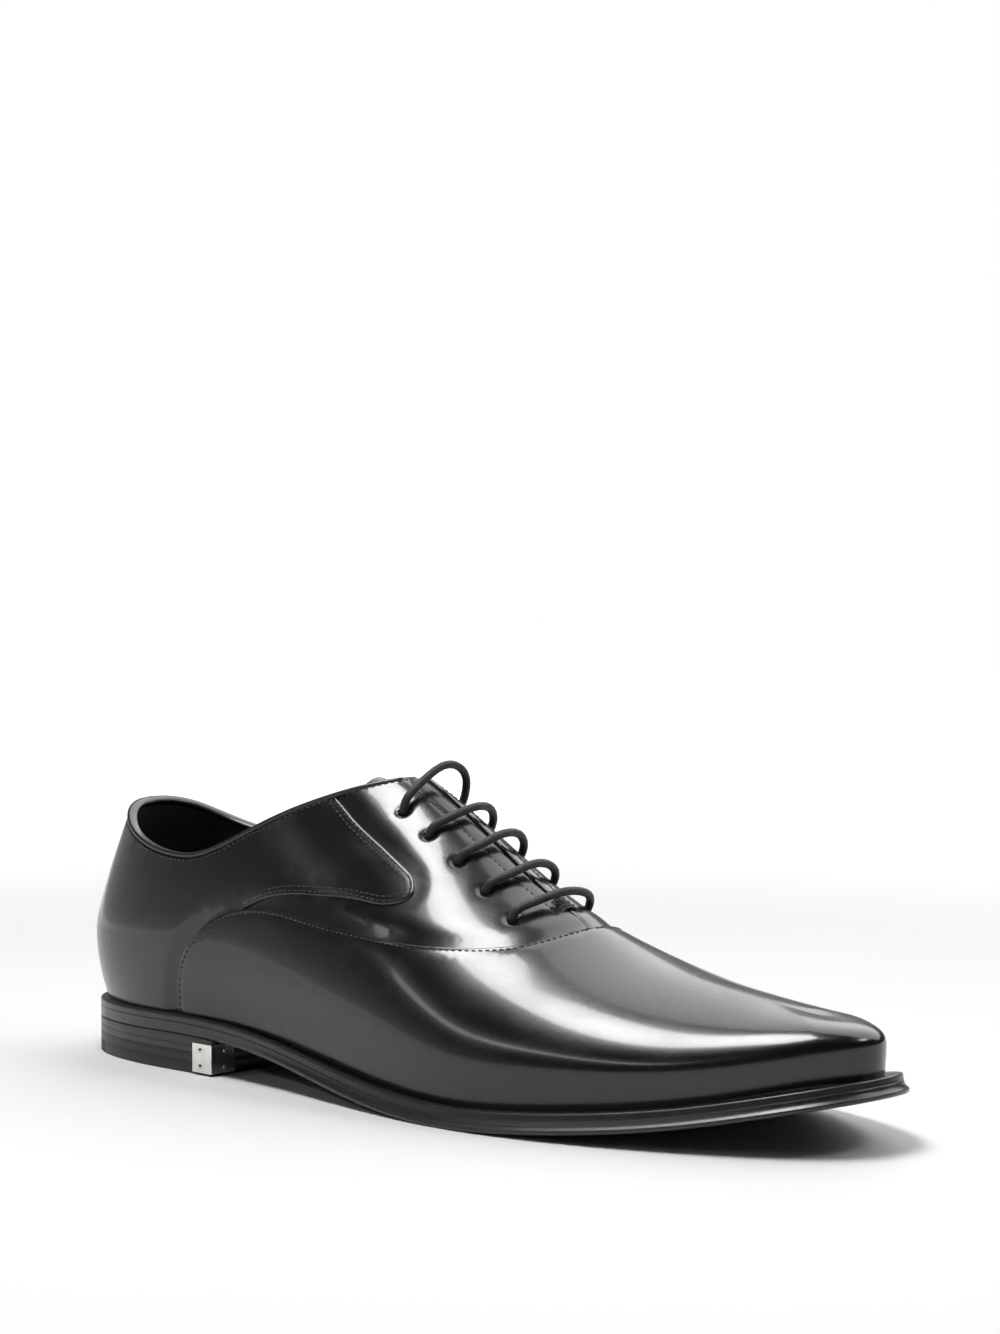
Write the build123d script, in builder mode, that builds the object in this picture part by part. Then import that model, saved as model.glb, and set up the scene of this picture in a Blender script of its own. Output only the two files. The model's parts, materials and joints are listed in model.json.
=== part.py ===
"""A right-foot leather oxford shoe as the separate pieces a shoemaker would join.

Frame: +X runs from heel to toe, +Y to the inner side of the foot, +Z up. The floor is z = 0 and
the origin lies on it under the middle of the sole's box. "Station" means the distance in
millimetres from the back of the sole along X, and "height" the distance above the floor.
"""

from build123d import *
import math
import os

os.makedirs("parts", exist_ok=True)

# ---------------------------------------------------------------- driving dimensions (mm)
SOLE_LENGTH = 307.0
HEEL_X = -SOLE_LENGTH / 2  # x of station 0
AXIS_Y = 2.1  # y of the last's centre line
FAR = 90.0  # further out than any part of the shoe

UPPER_LEATHER = 1.3
INTERLAYER = 0.8
LINING_LEATHER = 1.1
WALL = UPPER_LEATHER + INTERLAYER + LINING_LEATHER
WELT = 2.2
OUTSOLE = 3.8
INSOLE = 2.5
SOCK = 1.2

HEEL_BREAST = 74.7  # station of the heel's front face
TOP_PIECE = 3.7
DARK_LIFT = 2.9
MIDDLE_LIFT = 2.2
TOP_PIECE_SPLIT = 17.0  # station where the rubber quarter meets the leather

BINDING = 2.2  # its height at the topline
BINDING_PROUD = 0.4
BINDING_FRONT = 129.5  # station where it ends on the facings

SHANK_RUN = (62, 168)
SHANK_WIDTH = 12.0
SHANK_THICKNESS = 1.2
WELT_UNDER_WALL = 1.6  # how far the welt reaches in past the upper's wall
NAIL = 1.6
NAIL_FROM = 1.5
HEEL_NAILS = [(11, 0), (20, -19), (20, 19), (44, -25), (44, 25), (64, -18), (64, 18)]  # station, offset

PLATE = 0.9  # thickness of the corner plate's sheet
PLATE_HEIGHTS = (0.8, 9.8)
PLATE_ON_SIDE = 8.0
PLATE_ON_BREAST = 9.0
PLATE_PIN = 1.4
PIN_HEIGHTS = (2.6, 7.7)
PIN_FROM_CORNER = 5.0
PIN_LENGTH = 5.0

LACE = 2.6
AGLET = 3.2
AGLET_LENGTH = 10.0
TACK_THREAD = 0.8
TACK_STATIONS = (185.5, 187, 188.5)
TACK_REACH = 3.6
TACK_DROP = 0.9
EYELET_HOLE = 3.2
GAP_AT_TOP = 3.4  # between the facing edges
GAP_AT_THROAT = 1.4
LINING_HOLE = 5.8
RING_OUTER = 9.0
RING_INNER = 5.8
TONGUE_LEATHER = 1.3
TONGUE_LINING = 0.8
TONGUE_HALF_WIDTH = 17.0
TONGUE_DEPTH = WALL + 5.6  # leaves room for the lace under the lining
TONGUE_END = 112.0  # station of the tongue's free end
TONGUE_HINGE = 194.0  # station where it is sewn in

# ---------------------------------------------------------------- the last and the sole's edge
# Half widths are given at even steps of the angle u, where a station is
# start + (end - start) * (1 - cos(pi * u)) / 2, which rounds both ends.
WIDTH_STEPS = [0.12, 0.24, 0.36, 0.48, 0.58, 0.68, 0.78, 0.88]
WELT_OUTER = {-1: [21.5, 32.6, 36, 45.5, 51.5, 45.5, 33.6, 20.3], 1: [23, 33, 29.5, 31, 45, 46.5, 34.5, 20]}
WELT_SHOWS = {-1: [2.2, 2.2, 3, 4.2, 4.5, 5, 5.5, 5.5], 1: [2.2, 2.2, 3.5, 4.5, 4.5, 5, 5.5, 5.5]}
SIDE_BULGE = {-1: [2.5, 2.5, 4.5, 4, 3, 2.5, 1.5, 1], 1: [2.5, 2.5, 6.5, 7, 3, 2, 1.5, 1]}
LIP = [0, 0, 0.4, 1.6, 2.2, 2.2, 2.2, 2.2]  # the outsole's edge past the welt's
WELT_ENDS = (0.8, 304.5)
OUTSOLE_ENDS = (0.8, SOLE_LENGTH)
FEATHER_ENDS = (3.5, 300.5)
WIDEST_ENDS = (-0.6, 301.0)

# Each table is (stations, values).
WELT_TOP = (
    [0, 40, 72, 110, 150, 190, 215, 260, 290, 307],
    [16.8, 17.4, 17.2, 13.4, 7.8, 6, 7.4, 12.6, 18.6, 22.2],
)
WIDEST_HEIGHT = ([0, 60, 110, 150, 185, 215, 250, 285, 300], [22, 22, 20, 18, 14, 12, 10, 9, 9])
RIDGE = (
    [0, 45, 85, 110, 135, 155, 175, 200, 225, 250, 278],
    [140, 128, 116, 104, 92, 79.7, 66, 53.2, 45, 40.6, 36.5],
)
PULL_STATIONS = [0, 60, 100, 135, 160, 185, 215, 250, 285, 300]
SIDE_PULL = (PULL_STATIONS, [10, 22, 30, 28, 26, 18, 13, 9, 9, 9])
RIDGE_PULL = (PULL_STATIONS, [14, 14, 12, 12, 13, 17, 21, 17, 13, 12])
FEATHER_PULL = (PULL_STATIONS, [11, 11, 10, 9, 7, 6, 5, 4.5, 4, 4])
TOE_FAN = 26.0  # the ridge ends this far behind the toe's tip
HEEL_FAN = 45.0
SINK = 3.0  # the shells run this far below the welt's top before they are trimmed

# ---------------------------------------------------------------- lines on the upper, side view
VAMP_SEAM = [
    (57, 12), (58.5, 26), (61.3, 35), (67, 42.5), (76.7, 49.5), (89, 53.2), (104, 54.1), (123, 52.1),
    (141, 50.8), (162, 49.3), (173, 49.3), (184.4, 49.7), (191.4, 51), (196, 53), (201, 57),
]  # fmt: skip
QUARTER_FRONT = [(104, 92.5), (110.5, 89), (122, 82), (135.6, 75), (146, 69.6), (151, 66)]
QUARTER_NOSE = [(152.4, 62.5), (147.7, 59.8), (136.4, 59.9), (120, 60), (103, 58.6), (93.5, 55.7), (84, 51)]
TOPLINE = [
    (5, 82), (13, 80), (23.4, 74.6), (36, 69.9), (52, 67.5), (61.5, 67.9), (71, 70.7), (86, 78),
    (98, 84), (110.5, 89.3), (121, 93), (131, 95), (140, 94.5),
]  # fmt: skip
THROAT = 189.0  # station where the two facing edges meet
VAMP_LINING_SEAM = [(118, 6), (135, 20), (152, 33), (173, 45), (203, 60)]

# ---------------------------------------------------------------- the lace's route
# Station, offset from the centre line and height. Every bar lies straight across. The comments
# number the rows from the throat up; "in" is under the lining and "out" is on the leather.
LACE_ROUTE = [
    (222, -11.5, 14.6), (206, -18, 12.6), (188, -22, 11.6), (171, -25, 12.8), (158, -28.5, 21),
    (148, -30.5, 33), (142, -30, 46), (139.6, -27.4, 57), (140, -23.5, 65.6), (141.6, -18.4, 71.2),
    (144.4, -12.2, 74.6),  # row 4 outer side, in
    (146.6, -14.6, 80.8),  # out
    (150, -8, 83.8), (151.6, 0.5, 86.4), (150.4, 9.5, 85.4),
    (146.8, 15, 79.6),  # row 4 inner side, out
    (144.5, 11, 72.8),  # in
    (156.6, 9.4, 67.8),
    (168, 13.6, 58.6),  # row 2 inner side, in
    (170.8, 16.4, 65.6),  # out
    (173.2, 10, 69.8), (174.1, 1, 70.9), (172.9, -9, 67.9),
    (170.6, -16.2, 66.2),  # row 2 outer side, out
    (167.8, -14.1, 59.6),  # in
    (179.9, -15.9, 52.1),  # row 1 outer side, in
    (182.6, -18, 59.2),  # out
    (185, -11.5, 61.2), (187, 0, 63.8), (186.6, 11, 62.4),
    (182.7, 18.2, 58.5),  # row 1 inner side, out
    (180.1, 15.5, 51.4),  # in
    (168.4, 17.4, 55.2),
    (156.3, 12.2, 66.2),  # row 3 inner side, in
    (159, 15.3, 73),  # out
    (162, 9.5, 78.3), (162.8, 0.5, 79.2), (161.5, -8.5, 75.9),
    (158.9, -15, 73.8),  # row 3 outer side, out
    (156.1, -12.9, 67.4),  # in
    (144.8, -9.2, 76.3),
    (133.4, -11.2, 80.7),  # row 5 outer side, in
    (135.4, -13.9, 87.4),  # out
    (136.6, -8, 92.8), (138.2, 3, 99), (138, 12.5, 95),
    (135.4, 14.4, 86),  # row 5 inner side, out
    (133.5, 10, 78.8),  # in
    (132, 14.8, 74.4), (131.4, 19, 66), (132, 22.2, 55), (134.4, 23.4, 42), (140, 22.8, 29),
    (150, 20.6, 18.6), (164, 18.4, 12.6), (181, 17.4, 11.6), (199, 13.6, 12.2), (215, 6.4, 14.2),
]  # fmt: skip
EYELETS = [  # places in the route, out and in, of the two points beside each eyelet
    (11, 10), (15, 16), (19, 18), (23, 24), (26, 25), (30, 31), (34, 33), (38, 39), (42, 41), (46, 47),
]  # fmt: skip


def curve_through(stations, values):
    """The natural cubic spline through the given values, straight beyond its ends."""
    n = len(stations)
    step = [stations[i + 1] - stations[i] for i in range(n - 1)]
    slope = [(values[i + 1] - values[i]) / step[i] for i in range(n - 1)]
    diagonal, right = [1.0] * n, [0.0] * n
    for i in range(1, n - 1):
        lower = step[i - 1] if i > 1 else 0.0
        ratio = lower / diagonal[i - 1]
        diagonal[i] = 2 * (step[i - 1] + step[i]) - ratio * step[i - 1]
        right[i] = 6 * (slope[i] - slope[i - 1]) - ratio * right[i - 1]
    bend = [0.0] * n
    for i in range(n - 2, 0, -1):
        bend[i] = (right[i] - step[i] * bend[i + 1]) / diagonal[i]
    first = slope[0] - step[0] * bend[1] / 6
    last = slope[-1] + step[-1] * bend[-2] / 6

    def at(x):
        if x <= stations[0]:
            return values[0] + first * (x - stations[0])
        if x >= stations[-1]:
            return values[-1] + last * (x - stations[-1])
        i = max(k for k in range(n - 1) if stations[k] <= x)
        a, b, h = stations[i + 1] - x, x - stations[i], step[i]
        cubic = (bend[i] * a**3 + bend[i + 1] * b**3) / (6 * h)
        return cubic + (values[i] / h - bend[i] * h / 6) * a + (values[i + 1] / h - bend[i + 1] * h / 6) * b

    return at


welt_top = curve_through(*WELT_TOP)
widest_height = curve_through(*WIDEST_HEIGHT)
ridge_height = curve_through(*RIDGE)
side_pull = curve_through(*SIDE_PULL)
ridge_pull = curve_through(*RIDGE_PULL)
feather_pull = curve_through(*FEATHER_PULL)


def half_width(values):
    """Half width against the angle u, closing to nothing at heel and toe."""
    return curve_through([0.0] + WIDTH_STEPS + [1.0], [0.0] + list(values) + [0.0])


def less(first, second):
    """The first list less the second, item by item."""
    return [a - b for a, b in zip(first, second)]


FEATHER = {side: less(WELT_OUTER[side], WELT_SHOWS[side]) for side in (-1, 1)}
WIDEST = {side: [a + b for a, b in zip(FEATHER[side], SIDE_BULGE[side])] for side in (-1, 1)}
feather_width = {side: half_width(FEATHER[side]) for side in (-1, 1)}
widest_width = {side: half_width(WIDEST[side]) for side in (-1, 1)}


def station_at(u, ends):
    """Station at angle u of an outline that runs between two end stations."""
    return ends[0] + (ends[1] - ends[0]) * (1 - math.cos(math.pi * u)) / 2


def plan_point(u, side, ends, width, inset):
    """A point of a plan outline, moved inwards by inset along its own normal."""
    small = 1e-3
    low, high = max(u - small, 0.0), min(u + small, 1.0)
    dx = station_at(high, ends) - station_at(low, ends)
    dy = width(high) - width(low)
    length = math.hypot(dx, dy)
    return station_at(u, ends) + inset * dy / length, side * (width(u) - inset * dx / length)


def spine_station(x):
    """Station on the ridge that belongs to a widest-line station, fanned at heel and toe."""
    middle, rear = 0.5 * SOLE_LENGTH, 0.35 * SOLE_LENGTH
    if x > middle:
        run = WIDEST_ENDS[1] - middle
        t = (x - middle) / run
        return middle + run * t - TOE_FAN * t * t
    if x < rear:
        run = rear - WIDEST_ENDS[0]
        t = (rear - x) / run
        return rear - run * t + HEEL_FAN * t * t
    return x


def bezier(a, b, c, d, t):
    """Point at t of a cubic Bezier curve."""
    s = 1 - t
    return [s**3 * p + 3 * s * s * t * q + 3 * s * t * t * r + t**3 * e for p, q, r, e in zip(a, b, c, d)]


def last_point(u, v, side, inset):
    """Station, offset and height; v is 0 at the feather, 1 at the widest line, 2 on the ridge."""
    wx, wy = plan_point(u, side, WIDEST_ENDS, widest_width[side], inset)
    wz = welt_top(wx) + widest_height(wx)
    widest = (wx, wy, wz)
    if v <= 1:
        fx, fy = plan_point(u, side, FEATHER_ENDS, feather_width[side], inset)
        feather = (fx, fy, welt_top(fx) - SINK)
        rise = (wx - fx, wy - fy, wz - feather[2])
        leave = [p + k * q for p, k, q in zip(feather, (0.45, 0.45, 0.28), rise)]
        arrive = (wx, wy, wz - feather_pull(wx))
        return bezier(feather, leave, arrive, widest, v)
    cx = spine_station(station_at(u, WIDEST_ENDS))
    slope = ridge_height(cx + 0.5) - ridge_height(cx - 0.5)
    top = ridge_height(cx) - inset * math.hypot(1, slope)
    dx, dy = wx - cx, wy
    reach = math.hypot(dx, dy) + 1e-9
    pull = min(ridge_pull(wx), 0.75 * reach)
    leave = (wx, wy, wz + min(side_pull(wx), 0.9 * (top - wz)))
    arrive = (cx + dx / reach * pull, dy / reach * pull, top + dx / reach * pull * slope)
    return bezier(widest, leave, arrive, (cx, 0.0, top), v - 1)


def solve(function, low, high, target):
    """Where a rising function meets the target between low and high."""
    for _ in range(34):
        middle = (low + high) / 2
        if function(middle) < target:
            low = middle
        else:
            high = middle
    return (low + high) / 2


SECTION_STEPS = [0, 0.12, 0.25, 0.38, 0.5, 0.6, 0.7, 0.8, 0.9]


def section_points(station, inset):
    """The cross-section at one station: points from the outer feather over the ridge to the inner one."""
    end = 0.0 if station < SOLE_LENGTH / 2 else 1.0
    low, high = 0.0, 2.0
    if end == 0.0 and station < last_point(0, 2, 1, inset)[0]:
        high = solve(lambda v: last_point(0, v, 1, inset)[0], 1, 2, station)
    if end == 0.0 and station < last_point(0, 0, 1, inset)[0]:
        low = solve(lambda v: -last_point(0, v, 1, inset)[0], 0, 1, -station)
        low += 0.04 * (high - low)
    if end == 1.0 and station > last_point(1, 2, 1, inset)[0]:
        high = solve(lambda v: -last_point(1, v, 1, inset)[0], 1, 2, -station)
    sides = {}
    for side in (-1, 1):
        sides[side] = []
        for part in SECTION_STEPS:
            v = low + (high - low) * part
            u = solve(lambda w: last_point(w, v, side, inset)[0], 0, 1, station)
            point = last_point(u, v, side, inset)
            sides[side].append((AXIS_Y + point[1], point[2]))
    top = last_point(end, high, 1, inset)[2]
    if high == 2.0:
        u = solve(lambda w: last_point(w, 2, 1, inset)[0], 0, 1, station)
        top = last_point(u, 2, 1, inset)[2]
    return sides[-1] + [(AXIS_Y, top)] + sides[1][::-1]


SECTION_PARTS = [
    0.0, 0.006, 0.016, 0.035, 0.065, 0.105, 0.16, 0.23, 0.31, 0.39, 0.47, 0.55, 0.63, 0.71, 0.78, 0.84,
    0.89, 0.93, 0.96, 0.981, 0.992, 1.0,
]  # fmt: skip


def spacing(points):
    """Spline parameters in proportion to the distances between the points."""
    lengths = [math.dist(a, b) for a, b in zip(points, points[1:])]
    return [sum(lengths[:i]) / sum(lengths) for i in range(len(points))]


def last_solid(inset):
    """The shape of the last and its covering at one depth, lofted from cross-sections."""
    shared = spacing(section_points(SOLE_LENGTH / 2, inset))
    first = last_point(0, 1, 1, inset)[0] + 0.5
    final = last_point(1, 0, 1, inset)[0] - 0.4
    with BuildPart() as solid:
        for part in SECTION_PARTS:
            station = first + (final - first) * part
            points = section_points(station, inset)
            with BuildSketch(Plane(origin=(HEEL_X + station, 0, 0), x_dir=(0, 1, 0), z_dir=(1, 0, 0))):
                with BuildLine():
                    add(Edge.make_spline(points, parameters=shared))
                    Line(points[-1], points[0])
                make_face()
        loft()
    return solid.part


# ---------------------------------------------------------------- shared cutting shapes
SIDE_VIEW = Plane(origin=(0, FAR, 0), x_dir=(1, 0, 0), z_dir=(0, -1, 0))


def placed(points):
    """Stations and heights as X and Z."""
    return [(HEEL_X + station, height) for station, height in points]


def side_prism(line, corners):
    """Everything across the shoe between a smooth line and the straight run through the corners."""
    with BuildPart() as prism:
        with BuildSketch(SIDE_VIEW):
            with BuildLine():
                Spline(*placed(line))
                Polyline(*placed([line[-1], *corners, line[0]]))
            make_face()
        extrude(amount=2 * FAR)
    return prism.part


def block(stations, offsets, heights):
    """A plain box between two stations, two offsets from the centre line and two heights."""
    size = [b - a for a, b in (stations, offsets, heights)]
    middle = [(a + b) / 2 for a, b in (stations, offsets, heights)]
    with BuildPart(Plane(origin=(HEEL_X + middle[0], AXIS_Y + middle[1], middle[2]))) as piece:
        Box(*size)
    return piece.part


def welt_line(depth):
    """The welt's top line lowered by a depth, as stations and heights."""
    return [(station, welt_top(station) - depth) for station in range(-12, 325, 14)]


def above(depth):
    """Everything above the line that lies a depth below the welt's top."""
    return side_prism(welt_line(depth), [(324, 190), (-12, 190)])


def plan_prism(ends, width, inset=0.0):
    """An upright prism on a plan outline; width maps each side to its half-width function."""
    steps = [0.05, 0.12, 0.21, 0.3, 0.38, 0.46, 0.54, 0.62, 0.7, 0.79, 0.88, 0.95]
    outer = [plan_point(u, -1, ends, width[-1], inset) for u in steps]
    inner = [plan_point(u, 1, ends, width[1], inset) for u in reversed(steps)]
    loop = [(ends[0] + inset, 0.0), *outer, (ends[1] - inset, 0.0), *inner]
    with BuildPart() as prism:
        with BuildSketch(Plane.XY.offset(-10)):
            with BuildLine():
                Spline(*[(HEEL_X + x, AXIS_Y + y) for x, y in loop], periodic=True)
            make_face()
        extrude(amount=200)
    return prism.part


def route_point(index):
    """A point of the lace's route in the shoe's frame."""
    station, offset, height = LACE_ROUTE[index]
    return Vector(HEEL_X + station, AXIS_Y + offset, height)


def eyelet_rods(diameter, reach):
    """A rod through every eyelet, along the lace that passes it."""
    rods = []
    for outside, inside in EYELETS:
        start, end = route_point(inside), route_point(outside)
        along = (end - start).normalized()
        with BuildPart() as rod:
            with BuildSketch(Plane(origin=start - along * reach, z_dir=along)):
                Circle(diameter / 2)
            extrude(amount=(end - start).length + 2 * reach)
        rods.append(rod.part)
    return rods


SIDES = {
    "lateral": block((-20, 330), (-FAR, 0), (-20, 200)),
    "medial": block((-20, 330), (0, FAR), (-20, 200)),
}

skin = last_solid(0.0)
under_leather = last_solid(UPPER_LEATHER)
under_interlayer = last_solid(UPPER_LEATHER + INTERLAYER)
cavity = last_solid(WALL)
above_welt = above(0)

lowered = [(station, height - BINDING) for station, height in TOPLINE]
FRONT_CORNERS = [(330, TOPLINE[-1][1]), (330, -20), (-20, -20), (-20, TOPLINE[0][1])]
below_topline = side_prism(TOPLINE, FRONT_CORNERS)
below_binding = side_prism(lowered, FRONT_CORNERS)
vamp_region = side_prism(VAMP_SEAM, [(330, 57), (330, -20), (57, -20)])
facing_line = QUARTER_FRONT + QUARTER_NOSE
facing_region = side_prism(facing_line, [(84, 0), (330, 0), (330, 150), (104, 150)])
vamp_lining_region = side_prism(VAMP_LINING_SEAM, [(330, 60), (330, -20), (118, -20)])

with BuildPart() as lacing_gap:
    with BuildSketch(Plane.XY.offset(30)):
        with BuildLine():
            Polyline(
                (HEEL_X + 100, AXIS_Y + GAP_AT_TOP / 2 + 0.7),
                (HEEL_X + THROAT, AXIS_Y + GAP_AT_THROAT / 2),
                (HEEL_X + THROAT, AXIS_Y - GAP_AT_THROAT / 2),
                (HEEL_X + 100, AXIS_Y - GAP_AT_TOP / 2 - 0.7),
                close=True,
            )
        make_face()
    extrude(amount=120)
lacing_gap = lacing_gap.part


def written(name, part):
    """Label a piece and write it to its own file."""
    part.label = name
    export_step(part, f"parts/{name}.step")
    print(f"{name}: {len(part.solids())} solid(s), {part.volume:.0f} mm3")


# ---------------------------------------------------------------- upper leather
with BuildPart() as vamp:
    add(skin)
    add(vamp_region, mode=Mode.INTERSECT)
    add(above_welt, mode=Mode.INTERSECT)
    add(under_leather, mode=Mode.SUBTRACT)
written("vamp", vamp.part)

for side, half in SIDES.items():
    with BuildPart() as facing:
        add(skin)
        add(half, mode=Mode.INTERSECT)
        add(facing_region, mode=Mode.INTERSECT)
        add(below_binding, mode=Mode.INTERSECT)
        add(under_leather, mode=Mode.SUBTRACT)
        add([vamp_region, lacing_gap], mode=Mode.SUBTRACT)
        add(eyelet_rods(EYELET_HOLE, 4), mode=Mode.SUBTRACT)
    written(f"facing_{side}", facing.part)

    with BuildPart() as quarter:
        add(skin)
        add(half, mode=Mode.INTERSECT)
        add(below_binding, mode=Mode.INTERSECT)
        add(above_welt, mode=Mode.INTERSECT)
        add(under_leather, mode=Mode.SUBTRACT)
        add([vamp_region, facing_region], mode=Mode.SUBTRACT)
    written(f"quarter_{side}", quarter.part)

# ---------------------------------------------------------------- binding of the topline
with BuildPart() as topline_binding:
    add(last_solid(-BINDING_PROUD))
    add(below_topline, mode=Mode.INTERSECT)
    add(block((-5, BINDING_FRONT), (-FAR, FAR), (40, 110)), mode=Mode.INTERSECT)
    add(below_binding, mode=Mode.SUBTRACT)
    add(last_solid(WALL + BINDING_PROUD), mode=Mode.SUBTRACT)
    add(lacing_gap, mode=Mode.SUBTRACT)
written("topline_binding", topline_binding.part)

# ---------------------------------------------------------------- linings
with BuildPart() as vamp_lining:
    add(under_interlayer)
    add(vamp_lining_region, mode=Mode.INTERSECT)
    add(above_welt, mode=Mode.INTERSECT)
    add(cavity, mode=Mode.SUBTRACT)
written("vamp_lining", vamp_lining.part)

for side, half in SIDES.items():
    with BuildPart() as quarter_lining:
        add(under_interlayer)
        add(half, mode=Mode.INTERSECT)
        add(below_binding, mode=Mode.INTERSECT)
        add(above_welt, mode=Mode.INTERSECT)
        add(cavity, mode=Mode.SUBTRACT)
        add([vamp_lining_region, lacing_gap], mode=Mode.SUBTRACT)
        add(eyelet_rods(LINING_HOLE, 4), mode=Mode.SUBTRACT)
    written(f"quarter_lining_{side}", quarter_lining.part)

# ---------------------------------------------------------------- stiffening between leather and lining
COUNTER_EDGE = [(-10, 66), (10, 62), (40, 54), (62, 44), (78, 28), (84, 10)]
PUFF_EDGE = [(250, 60), (254, 44), (262, 34), (270, 24), (274, 10)]
STAY_EDGE = [(112, 96), (118, 84), (132, 74), (150, 66), (170, 56), (186, 51)]
STIFFENER_EDGE = [
    (92, 16), (94, 30), (104, 42), (122, 45), (150, 42), (180, 36), (215, 28), (236, 22), (243, 8),
]  # fmt: skip
with BuildPart() as heel_counter:
    add(under_leather)
    add(side_prism(COUNTER_EDGE, [(84, -10), (-10, -10)]), mode=Mode.INTERSECT)
    add(above_welt, mode=Mode.INTERSECT)
    add(under_interlayer, mode=Mode.SUBTRACT)
written("heel_counter", heel_counter.part)

with BuildPart() as toe_puff:
    add(under_leather)
    add(side_prism(PUFF_EDGE, [(330, 10), (330, 60)]), mode=Mode.INTERSECT)
    add(above_welt, mode=Mode.INTERSECT)
    add(under_interlayer, mode=Mode.SUBTRACT)
written("toe_puff", toe_puff.part)

for side, half in SIDES.items():
    with BuildPart() as side_stiffener:
        add(under_leather)
        add(half, mode=Mode.INTERSECT)
        add(side_prism(STIFFENER_EDGE, [(243, -10), (92, -10)]), mode=Mode.INTERSECT)
        add(above_welt, mode=Mode.INTERSECT)
        add(under_interlayer, mode=Mode.SUBTRACT)
    written(f"side_stiffener_{side}", side_stiffener.part)

    with BuildPart() as eyelet_stay:
        add(under_leather)
        add(half, mode=Mode.INTERSECT)
        add(side_prism(STAY_EDGE, [(186, 110), (112, 110)]), mode=Mode.INTERSECT)
        add(below_binding, mode=Mode.INTERSECT)
        add(under_interlayer, mode=Mode.SUBTRACT)
        add(lacing_gap, mode=Mode.SUBTRACT)
        add(eyelet_rods(RING_OUTER, 4), mode=Mode.SUBTRACT)
    written(f"eyelet_stay_{side}", eyelet_stay.part)

with BuildPart() as blind_eyelets:
    add(eyelet_rods(RING_OUTER, 4))
    add(under_leather, mode=Mode.INTERSECT)
    add(under_interlayer, mode=Mode.SUBTRACT)
    add(eyelet_rods(RING_INNER, 5), mode=Mode.SUBTRACT)
written("blind_eyelets", blind_eyelets.part)

# ---------------------------------------------------------------- tongue
with BuildPart() as tongue_plan:
    with BuildSketch(Plane(origin=(HEEL_X + (TONGUE_END + TONGUE_HINGE) / 2, AXIS_Y, 40))):
        RectangleRounded(TONGUE_HINGE - TONGUE_END, 2 * TONGUE_HALF_WIDTH, 7)
    extrude(amount=70)
TONGUE_LAYERS = {
    "tongue": (0, TONGUE_LEATHER),
    "tongue_lining": (TONGUE_LEATHER, TONGUE_LEATHER + TONGUE_LINING),
}
for name, (outside, inside) in TONGUE_LAYERS.items():
    with BuildPart() as tongue_layer:
        add(last_solid(TONGUE_DEPTH + outside))
        add(tongue_plan.part, mode=Mode.INTERSECT)
        add(last_solid(TONGUE_DEPTH + inside), mode=Mode.SUBTRACT)
    written(name, tongue_layer.part)

# ---------------------------------------------------------------- sole
welt_width = {side: half_width(WELT_OUTER[side]) for side in (-1, 1)}
lip_width = {side: half_width([w + lip for w, lip in zip(WELT_OUTER[side], LIP)]) for side in (-1, 1)}
welt_outline = plan_prism(WELT_ENDS, welt_width)
outsole_outline = plan_prism(OUTSOLE_ENDS, lip_width)
welt_inner = plan_prism(FEATHER_ENDS, feather_width, WALL + WELT_UNDER_WALL)
insole_outline = plan_prism(FEATHER_ENDS, feather_width, WALL + 0.2)
above_floor = block((-20, 330), (-FAR, FAR), (0, 200))
above_outsole = above(WELT)
above_tread = above(WELT + OUTSOLE)

with BuildPart() as welt:
    add(welt_outline)
    add(welt_inner, mode=Mode.SUBTRACT)
    add(above_outsole, mode=Mode.INTERSECT)
    add(above_welt, mode=Mode.SUBTRACT)
written("welt", welt.part)

with BuildPart() as nails:
    for station, offset in HEEL_NAILS:
        with BuildSketch(Plane(origin=(HEEL_X + station, AXIS_Y + offset, NAIL_FROM))):
            Circle(NAIL / 2)
        extrude(amount=welt_top(station) - WELT - NAIL_FROM)
nails = nails.part
written("heel_nails", nails)

with BuildPart() as outsole:
    add(outsole_outline)
    add(above_tread, mode=Mode.INTERSECT)
    add(above_outsole, mode=Mode.SUBTRACT)
    add(above_floor, mode=Mode.INTERSECT)
    add(nails, mode=Mode.SUBTRACT)
written("outsole", outsole.part)

heel_outline = block((-5, HEEL_BREAST), (-FAR, FAR), (-5, 30))
corner_angle = solve(lambda w: station_at(w, WELT_ENDS), 0, 1, HEEL_BREAST)
corner_offset = -welt_width[-1](corner_angle)
with BuildPart() as heel_body:
    add(welt_outline)
    add(heel_outline, mode=Mode.INTERSECT)
with BuildPart() as plate_pins:
    for height in PIN_HEIGHTS:
        side_hole = (HEEL_X + HEEL_BREAST - PIN_FROM_CORNER, AXIS_Y + corner_offset - PLATE - 0.4, height)
        with BuildSketch(Plane(origin=side_hole, z_dir=(0, 1, 0))):
            Circle(PLATE_PIN / 2)
        extrude(amount=PIN_LENGTH)
        breast_hole = (HEEL_X + HEEL_BREAST + PLATE + 0.3, AXIS_Y + corner_offset + PIN_FROM_CORNER, height)
        with BuildSketch(Plane(origin=breast_hole, z_dir=(-1, 0, 0))):
            Circle(PLATE_PIN / 2)
        extrude(amount=PIN_LENGTH)
plate_pins = plate_pins.part
written("plate_pins", plate_pins)

plate_run = (HEEL_BREAST - PLATE_ON_SIDE, HEEL_BREAST + PLATE)
plate_spread = (corner_offset - 6, corner_offset + PLATE_ON_BREAST)
with BuildPart() as heel_corner_plate:
    add(plan_prism(WELT_ENDS, welt_width, -PLATE))
    add(block(plate_run, plate_spread, PLATE_HEIGHTS), mode=Mode.INTERSECT)
    add([heel_body.part, plate_pins], mode=Mode.SUBTRACT)
written("heel_corner_plate", heel_corner_plate.part)

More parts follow.
